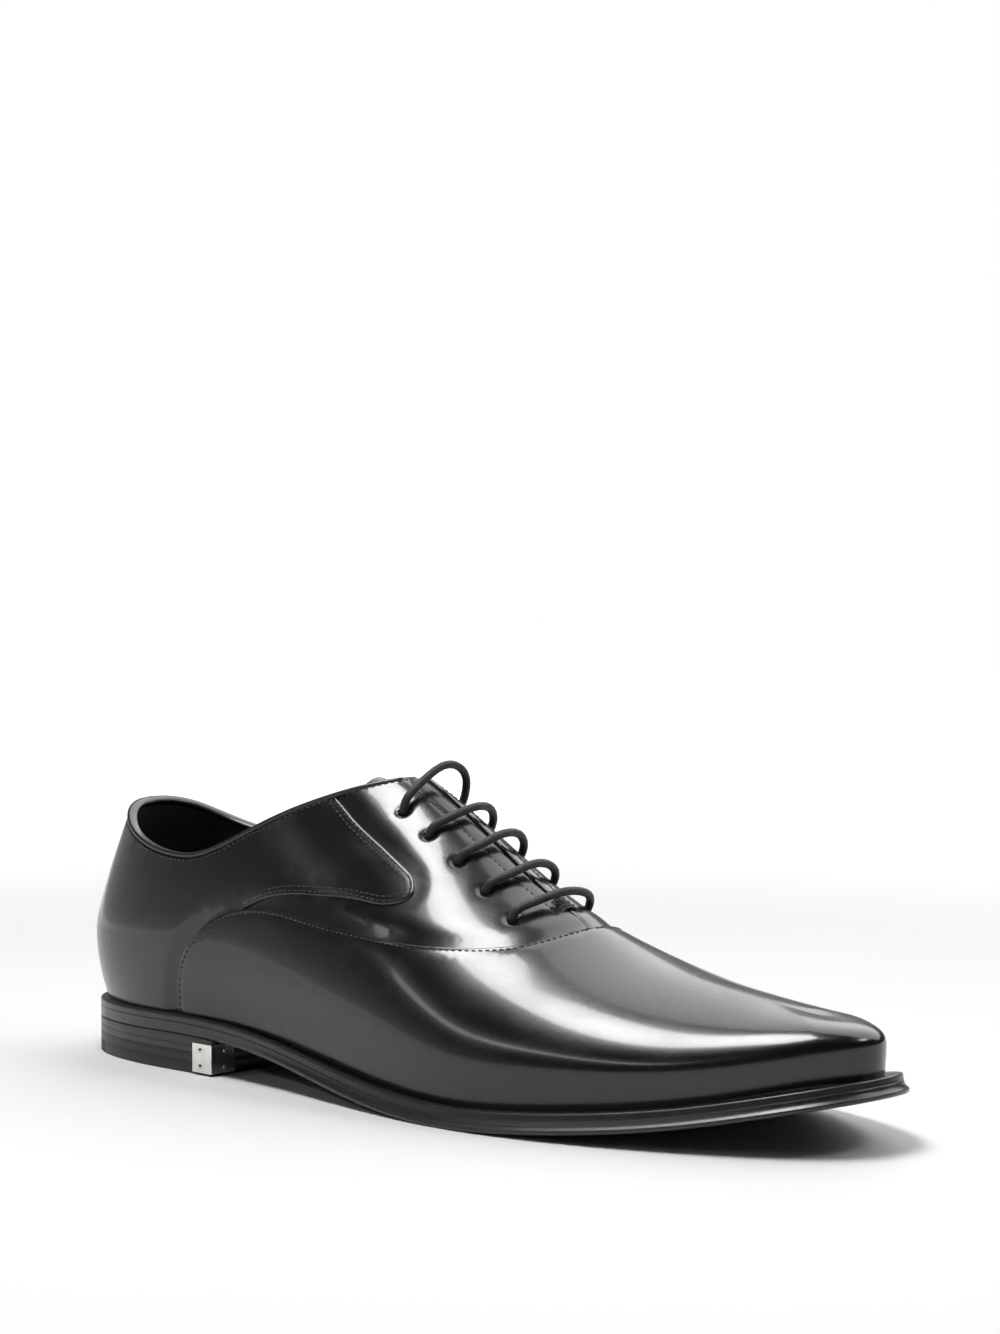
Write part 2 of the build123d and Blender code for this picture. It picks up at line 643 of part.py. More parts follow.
stack = [0, TOP_PIECE, TOP_PIECE + DARK_LIFT, TOP_PIECE + DARK_LIFT + MIDDLE_LIFT, 20]
for number, (low, high) in enumerate(zip(stack[1:-1], stack[2:]), start=1):
    with BuildPart() as heel_lift:
        add(heel_body.part)
        add(block((-5, 90), (-FAR, FAR), (low, high)), mode=Mode.INTERSECT)
        add(above_tread, mode=Mode.SUBTRACT)
        add([nails, plate_pins], mode=Mode.SUBTRACT)
    written(f"heel_lift_{number}", heel_lift.part)

TOP_PIECES = {"top_piece_rubber": (-5, TOP_PIECE_SPLIT), "top_piece_leather": (TOP_PIECE_SPLIT, 90)}
for name, run in TOP_PIECES.items():
    with BuildPart() as top_piece:
        add(heel_body.part)
        add(block(run, (-FAR, FAR), (0, TOP_PIECE)), mode=Mode.INTERSECT)
        add([nails, plate_pins], mode=Mode.SUBTRACT)
    written(name, top_piece.part)

with BuildPart() as shank:
    add(block(SHANK_RUN, (-SHANK_WIDTH / 2, SHANK_WIDTH / 2), (-5, 60)))
    add(above(WELT - 0.4), mode=Mode.INTERSECT)
    add(above(WELT - 0.4 - SHANK_THICKNESS), mode=Mode.SUBTRACT)
written("shank", shank.part)

with BuildPart() as cork_filler:
    add(welt_inner)
    add(above_outsole, mode=Mode.INTERSECT)
    add(above_welt, mode=Mode.SUBTRACT)
    add(shank.part, mode=Mode.SUBTRACT)
written("cork_filler", cork_filler.part)

with BuildPart() as insole:
    add(insole_outline)
    add(above_welt, mode=Mode.INTERSECT)
    add(above(-INSOLE), mode=Mode.SUBTRACT)
written("insole", insole.part)

with BuildPart() as sock_lining:
    add(insole_outline)
    add(above(-INSOLE), mode=Mode.INTERSECT)
    add(above(-INSOLE - SOCK), mode=Mode.SUBTRACT)
written("sock_lining", sock_lining.part)

# ---------------------------------------------------------------- lace
route = [route_point(index) for index in range(len(LACE_ROUTE))]
runs = [(b - a).length for a, b in zip(route, route[1:])]
turns = [(b - a).get_angle(c - b) for a, b, c in zip(route, route[1:], route[2:])]
radii = []
for before, after, turn in zip(runs, runs[1:], turns):
    radii.append(0.45 * min(before, after) / math.tan(math.radians(turn / 2)))
print("lace radii", [round(radius, 1) for radius in radii])
print("lace turns", [round(turn) for turn in turns])

with BuildPart() as lace:
    with BuildLine() as lace_path:
        FilletPolyline(*route, radius=radii)
    with BuildSketch(Plane(origin=lace_path.line @ 0, z_dir=lace_path.line % 0)):
        Circle(LACE / 2)
    sweep()
written("lace", lace.part)
length = sum(edge.length for edge in lace_path.edges())
print(f"lace length {length:.1f}, section times length {length * math.pi * LACE**2 / 4:.0f}")

with BuildPart() as aglets:
    for start, toward in ((route[0], route[1]), (route[-1], route[-2])):
        with BuildSketch(Plane(origin=start, z_dir=(toward - start).normalized())):
            Circle(AGLET / 2)
            Circle(LACE / 2, mode=Mode.SUBTRACT)
        extrude(amount=AGLET_LENGTH)
written("aglets", aglets.part)

# ---------------------------------------------------------------- bar tack at the throat
with BuildPart() as throat_bar_tack:
    for station in TACK_STATIONS:
        height = ridge_height(station) + TACK_THREAD / 2
        left = Vector(HEEL_X + station, AXIS_Y - TACK_REACH, height - TACK_DROP)
        middle = Vector(HEEL_X + station, AXIS_Y, height)
        right = Vector(HEEL_X + station, AXIS_Y + TACK_REACH, height - TACK_DROP)
        with BuildLine() as thread:
            ThreePointArc(left, middle, right)
        with BuildSketch(Plane(origin=left, z_dir=thread.line % 0)):
            Circle(TACK_THREAD / 2)
        sweep()
written("throat_bar_tack", throat_bar_tack.part)
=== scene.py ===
import json
import math
import random

import bmesh
import bpy
import numpy as np
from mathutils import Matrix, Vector
from mathutils.geometry import delaunay_2d_cdt

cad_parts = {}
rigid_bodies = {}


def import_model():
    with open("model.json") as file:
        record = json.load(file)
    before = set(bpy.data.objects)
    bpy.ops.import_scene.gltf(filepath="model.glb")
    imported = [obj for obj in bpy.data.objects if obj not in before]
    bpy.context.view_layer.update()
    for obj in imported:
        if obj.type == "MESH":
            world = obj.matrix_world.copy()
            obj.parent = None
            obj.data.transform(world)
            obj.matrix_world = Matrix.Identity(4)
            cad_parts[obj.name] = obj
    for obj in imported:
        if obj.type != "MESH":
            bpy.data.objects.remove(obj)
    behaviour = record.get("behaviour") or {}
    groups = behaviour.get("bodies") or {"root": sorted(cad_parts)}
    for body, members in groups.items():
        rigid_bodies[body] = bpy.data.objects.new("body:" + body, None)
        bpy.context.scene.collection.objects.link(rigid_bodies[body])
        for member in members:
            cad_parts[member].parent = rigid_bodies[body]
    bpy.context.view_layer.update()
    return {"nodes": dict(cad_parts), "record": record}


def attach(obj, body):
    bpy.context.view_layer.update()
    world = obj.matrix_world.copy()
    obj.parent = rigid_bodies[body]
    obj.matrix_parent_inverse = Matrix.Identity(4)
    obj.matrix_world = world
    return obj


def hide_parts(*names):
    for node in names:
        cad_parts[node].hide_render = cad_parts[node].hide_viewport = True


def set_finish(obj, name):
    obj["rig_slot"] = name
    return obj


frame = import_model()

# Lengths are in millimetres and become metres when a mesh is made. A "station" is the distance from
# the back of the sole, an "offset" the distance from the centre line, a "height" that above the floor.
HEEL_X, AXIS_Y = -153.5, 2.1
SOLE_LENGTH = 307.0
UNDER_LAP, LAP = 1.0, 4.0
WELT, OUTSOLE, WALL = 2.2, 3.8, 3.2
HEEL_BREAST, TOP_PIECE, TOP_PIECE_SPLIT = 74.7, 3.7, 17.0
TONGUE_DEPTH, TONGUE_THICK = 8.8, 2.1
LACE_RADIUS = 1.3
THROAT = 189.0

# ---------------------------------------------------------------- the last, as in the CAD
WIDTH_STEPS = [0, 0.12, 0.24, 0.36, 0.48, 0.58, 0.68, 0.78, 0.88, 1]
WELT_OUTER = {-1: [21.5, 32.6, 36, 45.5, 51.5, 45.5, 33.6, 20.3], 1: [23, 33, 29.5, 31, 45, 46.5, 34.5, 20]}
WELT_SHOWS = {-1: [2.2, 2.2, 3, 4.2, 4.5, 5, 5.5, 5.5], 1: [2.2, 2.2, 3.5, 4.5, 4.5, 5, 5.5, 5.5]}
SIDE_BULGE = {-1: [2.5, 2.5, 4.5, 4, 3, 2.5, 1.5, 1], 1: [2.5, 2.5, 6.5, 7, 3, 2, 1.5, 1]}
WELT_ENDS = (0.8, 304.5)
FEATHER_ENDS, WIDEST_ENDS = (3.5, 300.5), (-0.6, 301.0)
TOE_FAN, HEEL_FAN, SINK = 26.0, 45.0, 3.0
PULL_STATIONS = [0, 60, 100, 135, 160, 185, 215, 250, 285, 300]

VAMP_SEAM = [
    (57, 12), (58.5, 26), (61.3, 35), (67, 42.5), (76.7, 49.5), (89, 53.2), (104, 54.1), (123, 52.1),
    (141, 50.8), (162, 49.3), (173, 49.3), (184.4, 49.7), (191.4, 51), (196, 53), (201, 57),
]
FACING_LINE = [
    (104, 92.5), (110.5, 89), (122, 82), (135.6, 75), (146, 69.6), (151, 66),
    (152.4, 62.5), (147.7, 59.8), (136.4, 59.9), (120, 60), (103, 58.6), (93.5, 55.7), (84, 51),
]
TOPLINE = [
    (5, 82), (13, 80), (23.4, 74.6), (36, 69.9), (52, 67.5), (61.5, 67.9), (71, 70.7), (86, 78),
    (98, 84), (110.5, 89.3), (121, 93), (131, 95), (140, 94.5),
]
# The lace: station, offset and height, from the first hidden end through the ten eyelets to the last.
LACE_ROUTE = [
    (222, -11.5, 14.6), (206, -18, 12.6), (188, -22, 11.6), (171, -25, 12.8), (158, -28.5, 21),
    (148, -30.5, 33), (142, -30, 46), (139.6, -27.4, 57), (140, -23.5, 65.6), (141.6, -18.4, 71.2),
    (144.4, -12.2, 74.6), (146.6, -14.6, 80.8), (150, -8, 83.8), (151.6, 0.5, 86.4), (150.4, 9.5, 85.4),
    (146.8, 15, 79.6), (144.5, 11, 72.8), (156.6, 9.4, 67.8), (168, 13.6, 58.6), (170.8, 16.4, 65.6),
    (173.2, 10, 69.8), (174.1, 1, 70.9), (172.9, -9, 67.9), (170.6, -16.2, 66.2), (167.8, -14.1, 59.6),
    (179.9, -15.9, 52.1), (182.6, -18, 59.2), (185, -11.5, 61.2), (187, 0, 63.8), (186.6, 11, 62.4),
    (182.7, 18.2, 58.5), (180.1, 15.5, 51.4), (168.4, 17.4, 55.2), (156.3, 12.2, 66.2), (159, 15.3, 73),
    (162, 9.5, 78.3), (162.8, 0.5, 79.2), (161.5, -8.5, 75.9), (158.9, -15, 73.8), (156.1, -12.9, 67.4),
    (144.8, -9.2, 76.3), (133.4, -11.2, 80.7), (135.4, -13.9, 87.4), (136.6, -8, 92.8), (138.2, 3, 99),
    (138, 12.5, 95), (135.4, 14.4, 86), (133.5, 10, 78.8), (132, 14.8, 74.4), (131.4, 19, 66),
    (132, 22.2, 55), (134.4, 23.4, 42), (140, 22.8, 29), (150, 20.6, 18.6), (164, 18.4, 12.6),
    (181, 17.4, 11.6), (199, 13.6, 12.2), (215, 6.4, 14.2),
]
EYELETS = {  # places in the route, out and in, of the two points beside each eyelet
    -1: [(11, 10), (23, 24), (26, 25), (38, 39), (42, 41)],
    1: [(15, 16), (19, 18), (30, 31), (34, 33), (46, 47)],
}


def natural(xs, ys):
    """The natural cubic spline through the given values, straight beyond its ends."""
    xs, ys = np.array(xs, float), np.array(ys, float)
    count, step = len(xs), np.diff(xs)
    matrix, right = np.eye(count), np.zeros(count)
    for i in range(1, count - 1):
        matrix[i, i - 1 : i + 2] = step[i - 1], 2 * (step[i - 1] + step[i]), step[i]
        right[i] = 6 * ((ys[i + 1] - ys[i]) / step[i] - (ys[i] - ys[i - 1]) / step[i - 1])
    bend = np.linalg.solve(matrix, right)
    first = (ys[1] - ys[0]) / step[0] - step[0] * bend[1] / 6
    last = (ys[-1] - ys[-2]) / step[-1] + step[-1] * bend[-2] / 6

    def at(x):
        x = np.asarray(x, float)
        inside = np.clip(x, xs[0], xs[-1])
        i = np.clip(np.searchsorted(xs, inside) - 1, 0, count - 2)
        a, b, h = xs[i + 1] - inside, inside - xs[i], step[i]
        value = (bend[i] * a**3 + bend[i + 1] * b**3) / (6 * h)
        value = value + (ys[i] / h - bend[i] * h / 6) * a + (ys[i + 1] / h - bend[i + 1] * h / 6) * b
        value = value + np.where(x < xs[0], (x - xs[0]) * first, 0)
        return value + np.where(x > xs[-1], (x - xs[-1]) * last, 0)

    return at


welt_top = natural(
    [0, 40, 72, 110, 150, 190, 215, 260, 290, 307], [16.8, 17.4, 17.2, 13.4, 7.8, 6, 7.4, 12.6, 18.6, 22.2]
)
widest_height = natural([0, 60, 110, 150, 185, 215, 250, 285, 300], [22, 22, 20, 18, 14, 12, 10, 9, 9])
ridge_height = natural(
    [0, 45, 85, 110, 135, 155, 175, 200, 225, 250, 278],
    [140, 128, 116, 104, 92, 79.7, 66, 53.2, 45, 40.6, 36.5],
)
side_pull = natural(PULL_STATIONS, [10, 22, 30, 28, 26, 18, 13, 9, 9, 9])
ridge_pull = natural(PULL_STATIONS, [14, 14, 12, 12, 13, 17, 21, 17, 13, 12])
feather_pull = natural(PULL_STATIONS, [11, 11, 10, 9, 7, 6, 5, 4.5, 4, 4])


def widths(values):
    """Half widths of both sides against the angle u, closing to nothing at heel and toe."""
    table = {side: natural(WIDTH_STEPS, [0, *values[side], 0]) for side in (-1, 1)}
    return lambda side, u: np.where(np.asarray(side) < 0, table[-1](u), table[1](u))


welt_width = widths(WELT_OUTER)
feather_width = widths({s: [w - e for w, e in zip(WELT_OUTER[s], WELT_SHOWS[s])] for s in (-1, 1)})
widest_width = widths(
    {s: [w - e + b for w, e, b in zip(WELT_OUTER[s], WELT_SHOWS[s], SIDE_BULGE[s])] for s in (-1, 1)}
)


def station_at(u, ends):
    """Station at angle u of an outline that runs between two end stations."""
    return ends[0] + (ends[1] - ends[0]) * (1 - np.cos(np.pi * u)) / 2


def plan_point(u, side, ends, width, inset):
    """A point of a plan outline, moved inwards by inset along its own normal."""
    low, high = np.maximum(u - 1e-3, 0), np.minimum(u + 1e-3, 1)
    dx = station_at(high, ends) - station_at(low, ends)
    dy = width(side, high) - width(side, low)
    length = np.hypot(dx, dy)
    return station_at(u, ends) + inset * dy / length, side * (width(side, u) - inset * dx / length)


def spine_station(x):
    """Station on the ridge that belongs to a widest-line station, fanned at heel and toe."""
    middle, rear = 0.5 * SOLE_LENGTH, 0.35 * SOLE_LENGTH
    toe_run, heel_run = WIDEST_ENDS[1] - middle, rear - WIDEST_ENDS[0]
    t, r = (x - middle) / toe_run, (rear - x) / heel_run
    toe = middle + toe_run * t - TOE_FAN * t * t
    heel = rear - heel_run * r + HEEL_FAN * r * r
    return np.where(x > middle, toe, np.where(x < rear, heel, x))


def bezier(a, b, c, d, t):
    """Points at t of cubic Bezier curves."""
    s = 1 - t
    return [s**3 * p + 3 * s * s * t * q + 3 * s * t * t * r + t**3 * e for p, q, r, e in zip(a, b, c, d)]


def surface(u, v, side, inset=0.0):
    """Station, offset and height on the last; v is 0 at the feather, 1 at the widest line, 2 on the ridge."""
    u, v, side, inset = np.broadcast_arrays(*[np.asarray(a, float) for a in (u, v, side, inset)])
    wx, wy = plan_point(u, side, WIDEST_ENDS, widest_width, inset)
    fx, fy = plan_point(u, side, FEATHER_ENDS, feather_width, inset)
    wz, fz = welt_top(wx) + widest_height(wx), welt_top(fx) - SINK
    leave = (fx + 0.45 * (wx - fx), fy + 0.45 * (wy - fy), fz + 0.28 * (wz - fz))
    low = bezier((fx, fy, fz), leave, (wx, wy, wz - feather_pull(wx)), (wx, wy, wz), np.clip(v, 0, 1))
    cx = spine_station(station_at(u, WIDEST_ENDS))
    slope = ridge_height(cx + 0.5) - ridge_height(cx - 0.5)
    top = ridge_height(cx) - inset * np.hypot(1, slope)
    dx, dy = wx - cx, wy
    reach = np.hypot(dx, dy) + 1e-9
    pull = np.minimum(ridge_pull(wx), 0.75 * reach)
    leave = (wx, wy, wz + np.minimum(side_pull(wx), 0.9 * (top - wz)))
    arrive = (cx + dx / reach * pull, dy / reach * pull, top + dx / reach * pull * slope)
    high = bezier((wx, wy, wz), leave, arrive, (cx, 0 * cx, top), np.clip(v - 1, 0, 1))
    return np.stack([np.where(v <= 1, a, b) for a, b in zip(low, high)], -1)


def slopes(uv, side, inset=0.0):
    """How a surface point moves per unit of u and of v."""
    u0, u1 = np.maximum(uv[:, 0] - 1e-4, 0), np.minimum(uv[:, 0] + 1e-4, 1)
    v0, v1 = np.maximum(uv[:, 1] - 1e-4, 0), np.minimum(uv[:, 1] + 1e-4, 2)
    along_u = (surface(u1, uv[:, 1], side, inset) - surface(u0, uv[:, 1], side, inset)) / (u1 - u0)[:, None]
    along_v = (surface(uv[:, 0], v1, side, inset) - surface(uv[:, 0], v0, side, inset)) / (v1 - v0)[:, None]
    return along_u, along_v


def outward(uv, side, inset=0.0):
    """Unit normals that point out of the shoe."""
    along_u, along_v = slopes(uv, side, inset)
    normal = np.cross(along_u, along_v) * -np.asarray(side, float).reshape(-1, 1)
    return normal / (np.linalg.norm(normal, axis=1)[:, None] + 1e-12)


# A grid of (u, v) that the search in invert() starts from.
GUESS_U, GUESS_V = [
    a.ravel() for a in np.meshgrid(np.linspace(0.002, 0.998, 260), np.linspace(0.01, 1.99, 80), indexing="ij")
]


NEWTON_STEPS = 14
FOUND_WITHIN = 0.05


def invert(targets, axes, side, inset=0.0):
    """The (u, v) whose two chosen coordinates match each target, and whether it was found."""
    targets, axes = np.asarray(targets, float), list(axes)
    usable = GUESS_V > (1.0 if 1 in axes else 0.0)
    guess_u, guess_v = GUESS_U[usable], GUESS_V[usable]
    grid = surface(guess_u, guess_v, side, inset)[:, axes]
    nearest = np.array([np.argmin(((grid - t) ** 2).sum(1)) for t in targets])
    uv = np.stack([guess_u[nearest], guess_v[nearest]], 1)
    for _ in range(NEWTON_STEPS):
        error = targets - surface(uv[:, 0], uv[:, 1], side, inset)[:, axes]
        along_u, along_v = [a[:, axes] for a in slopes(uv, side, inset)]
        det = along_u[:, 0] * along_v[:, 1] - along_u[:, 1] * along_v[:, 0]
        det = np.where(np.abs(det) < 1e-6, 1e-6, det)
        du = (error[:, 0] * along_v[:, 1] - error[:, 1] * along_v[:, 0]) / det
        dv = (along_u[:, 0] * error[:, 1] - along_u[:, 1] * error[:, 0]) / det
        uv[:, 0] = np.clip(uv[:, 0] + np.clip(du, -0.03, 0.03), 0, 1)
        uv[:, 1] = np.clip(uv[:, 1] + np.clip(dv, -0.12, 0.12), 0, 2)
    error = targets - surface(uv[:, 0], uv[:, 1], side, inset)[:, axes]
    return uv, np.hypot(error[:, 0], error[:, 1]) < FOUND_WITHIN


def smooth(points, step=1.0):
    """Evenly spaced points on a smooth curve through the given ones."""
    points = np.array(points, float)
    run = np.concatenate([[0], np.cumsum(np.linalg.norm(np.diff(points, axis=0), axis=1))])
    at = np.linspace(0, run[-1], max(2, int(run[-1] / step)))
    return np.stack([natural(run, points[:, k])(at) for k in range(points.shape[1])], 1)


UNDER_WELT_TOP = 0.6


def bottom_v(u, side):
    """v just under the welt's top."""
    low, high = np.zeros_like(u), np.full_like(u, 0.8)
    for _ in range(24):
        middle = (low + high) / 2
        p = surface(u, middle, side)
        below = p[:, 2] < welt_top(p[:, 0]) - UNDER_WELT_TOP
        low, high = np.where(below, middle, low), np.where(below, high, middle)
    return (low + high) / 2


def crossing(line, edge):
    """Where a plane line first meets another: the place on each, as an index with a fraction."""
    for i in range(len(line) - 1):
        p, r = line[i], line[i + 1] - line[i]
        q, s = edge[:-1], np.diff(edge, axis=0)
        det = r[0] * s[:, 1] - r[1] * s[:, 0]
        det = np.where(np.abs(det) < 1e-12, 1e-12, det)
        d = q - p
        t = (d[:, 0] * s[:, 1] - d[:, 1] * s[:, 0]) / det
        w = (d[:, 0] * r[1] - d[:, 1] * r[0]) / det
        hits = np.nonzero((t >= 0) & (t <= 1) & (w >= 0) & (w <= 1))[0]
        if len(hits):
            return i + t[hits[0]], hits[0] + w[hits[0]]
    return None


def side_line(points, side, step=1.0):
    """A side-view line laid on the last as (u, v), carried to the edges of the surface that it crosses."""
    line = smooth(points, step)
    uv, found = invert(line, (0, 2), side)
    inside = [(uv[i, 0], uv[i, 1]) for i in range(len(line)) if found[i]]
    last = 800
    params = np.linspace(0, 1, last + 1)
    edges = {
        "ridge": (np.stack([params, 0 * params + 2], 1), surface(params, 2, side)[:, [0, 2]]),
        "bottom": (np.stack([params, bottom_v(params, side)], 1), None),
        "heel": (np.stack([0 * params, 2 * params], 1), surface(0, 2 * params, side)[:, [0, 2]]),
    }
    bottom_uv = edges["bottom"][0]
    edges["bottom"] = (bottom_uv, surface(bottom_uv[:, 0], bottom_uv[:, 1], side)[:, [0, 2]])
    kept = np.array(inside)
    low = bottom_v(kept[:, 0], side)
    kept = kept[kept[:, 1] > low + 1e-4]
    for place in edges.values():
        meet = crossing(line, place[1])
        if meet is None:
            continue
        i = int(meet[1])
        at = place[0][i] + (meet[1] - i) * (place[0][min(i + 1, last)] - place[0][i])
        before = np.linalg.norm(kept[0] - at) < np.linalg.norm(kept[-1] - at)
        kept = np.vstack([at, kept]) if before else np.vstack([kept, at])
    gap = np.linalg.norm(np.diff(surface(kept[:, 0], kept[:, 1], side), axis=0), axis=1)
    return kept[np.concatenate([[True], gap > 0.25])] if len(kept) > 2 else kept


def shifted(uv, side, distance):
    """A line on the surface moved sideways along it."""
    p = surface(uv[:, 0], uv[:, 1], side)
    tangent = np.gradient(p, axis=0)
    tangent /= np.linalg.norm(tangent, axis=1)[:, None] + 1e-12
    across = np.cross(outward(uv, side), tangent) * distance
    along_u, along_v = slopes(uv, side)
    a, b, c = (along_u**2).sum(1), (along_u * along_v).sum(1), (along_v**2).sum(1)
    e, f = (along_u * across).sum(1), (along_v * across).sum(1)
    det = a * c - b * b + 1e-9
    moved = uv + np.stack([(c * e - b * f) / det, (a * f - b * e) / det], 1)
    moved = np.clip(moved, [0, 0], [1, 2])
    far = apart(surface(moved[:, 0], moved[:, 1], side), p) > abs(distance) * 0.93
    return moved[far]


def apart(points, line):
    """Distance from each point to the nearest of a line's runs."""
    best = np.full(len(points), 1e9)
    for a, b in zip(line[:-1], line[1:]):
        run = b - a
        t = np.clip(((points - a) @ run) / (run @ run + 1e-12), 0, 1)
        best = np.minimum(best, ((points - a - t[:, None] * run) ** 2).sum(1))
    return np.sqrt(best)


def within(points, corners):
    """Which plane points lie inside a closed run of corners."""
    x, y = points[:, 0], points[:, 1]
    inside = np.zeros(len(points), bool)
    for (ax, ay), (bx, by) in zip(corners, np.roll(corners, -1, axis=0)):
        if ay == by:
            continue
        inside ^= ((ay > y) != (by > y)) & (x < (bx - ax) * (y - ay) / (by - ay) + ax)
    return inside


def ease(t):
    """A smooth step from 0 to 1."""
    t = np.clip(t, 0, 1)
    return t * t * (3 - 2 * t)


def metres(points):
    """Station, offset and height as the shared frame's x, y and z in metres."""
    return (np.asarray(points) + [HEEL_X, AXIS_Y, 0]) / 1000


# ---------------------------------------------------------------- lines of the pattern on both sides
CUT_BELOW = 0.8  # from the topline down to the leather's cut edge, inside the bead
GAP_AT_THROAT, GAP_MORE, GAP_LENGTH = 0.7, 1.7, 89.0  # half the gap, and how much it opens to the top
LINES, OUTLINES = {}, {}
seam_plane, facing_plane, top_plane = smooth(VAMP_SEAM), smooth(FACING_LINE), smooth(TOPLINE)
vamp_corners = np.vstack([seam_plane, [(330, 57), (330, -20), (57, -20)]])
facing_corners = np.vstack([facing_plane, [(84, 0), (330, 0), (330, 150), (104, 150)]])
under_top = np.vstack([top_plane - [0, CUT_BELOW], [(330, 94.5), (330, -20), (-20, -20), (-20, 82)]])
ridge_line = np.linspace(0, 1, 700)


def gap_half(station):
    """Half the gap between the facings at a station."""
    return GAP_AT_THROAT + GAP_MORE * (THROAT - station) / GAP_LENGTH


for side in (-1, 1):
    edge_stations = np.arange(120, THROAT + 0.5, 1.0)
    gap_uv, gap_found = invert(np.stack([edge_stations, side * gap_half(edge_stations)], 1), (0, 1), side)
    LINES[side] = {
        "seam": side_line(VAMP_SEAM, side),
        "nose": side_line(FACING_LINE, side),
        "top": side_line(TOPLINE, side),
        "cut": side_line([(s, h - CUT_BELOW) for s, h in TOPLINE], side),
        "gap": gap_uv[gap_found],
    }
    OUTLINES[side] = {name: surface(line[:, 0], line[:, 1], side) for name, line in LINES[side].items()}


def eyelet_centres(side):
    """Where the lace passes the surface on one side, as (u, v)."""
    centres = []
    for outside, inside in EYELETS[side]:
        p, q = np.array(LACE_ROUTE[outside], float), np.array(LACE_ROUTE[inside], float)
        middle = p * 0.45 + q * 0.55
        grid = surface(GUESS_U, GUESS_V, side)
        near = np.argmin(((grid - middle) ** 2).sum(1))
        uv = np.array([[GUESS_U[near], GUESS_V[near]]])
        for _ in range(8):
            along_u, along_v = slopes(uv, side)
            error = middle - surface(uv[:, 0], uv[:, 1], side)
            solution = np.linalg.lstsq(np.stack([along_u[0], along_v[0]], 1), error[0], rcond=None)[0]
            uv = np.clip(uv + solution, 0, [1, 2])
        centres.append(uv[0])
    return np.array(centres)


def ring_around(centre, side, radius, count=20):
    """A closed circle on the surface as (u, v)."""
    along_u, along_v = [a[0] for a in slopes(centre[None], side)]
    first = along_u / np.linalg.norm(along_u)
    second = along_v - first * (along_v @ first)
    second /= np.linalg.norm(second)
    angles = np.linspace(0, 2 * np.pi, count, endpoint=False)
    offsets = radius * (np.cos(angles)[:, None] * first + np.sin(angles)[:, None] * second)
    base = np.stack([along_u, along_v], 1)
    return centre + np.linalg.lstsq(base, offsets.T, rcond=None)[0].T


HOLES = {side: eyelet_centres(side) for side in (-1, 1)}
HOLE_POINTS = {side: surface(HOLES[side][:, 0], HOLES[side][:, 1], side) for side in (-1, 1)}
HOLE_RADIUS = 1.55

# ---------------------------------------------------------------- meshes


def new_mesh(name, points, faces, **attributes):
    """An object from points in station, offset and height; attributes are one number per point."""
    mesh = bpy.data.meshes.new(name)
    mesh.from_pydata([tuple(p) for p in metres(points)], [], [tuple(int(i) for i in f) for f in faces])
    mesh.polygons.foreach_set("use_smooth", [True] * len(mesh.polygons))
    for key, values in attributes.items():
        layer = mesh.attributes.new(key, "FLOAT", "POINT")
        layer.data.foreach_set("value", np.asarray(values, np.float32))
    mesh.update()
    piece = bpy.data.objects.new(name, mesh)
    bpy.context.scene.collection.objects.link(piece)
    return piece


U_SCALE, V_SCALE = 330.0, 45.0  # about the last's length and half its girth per unit of u and v


def closed(points, faces, lower, edge):
    """Points and faces of a sheet with an underside and walls round its open edges."""
    count = len(points)
    seen = dict.fromkeys((int(a), int(b)) for face in faces for a, b in zip(face, np.roll(face, -1)))
    walls = [(b, a) for a, b in seen if (b, a) not in seen]
    faces = [tuple(f) for f in faces]
    faces += [tuple(int(i) + count for i in reversed(f)) for f in faces]
    faces += [(a, b, b + count, a + count) for a, b in walls]
    return np.vstack([points, lower]), faces, np.concatenate([edge, edge])


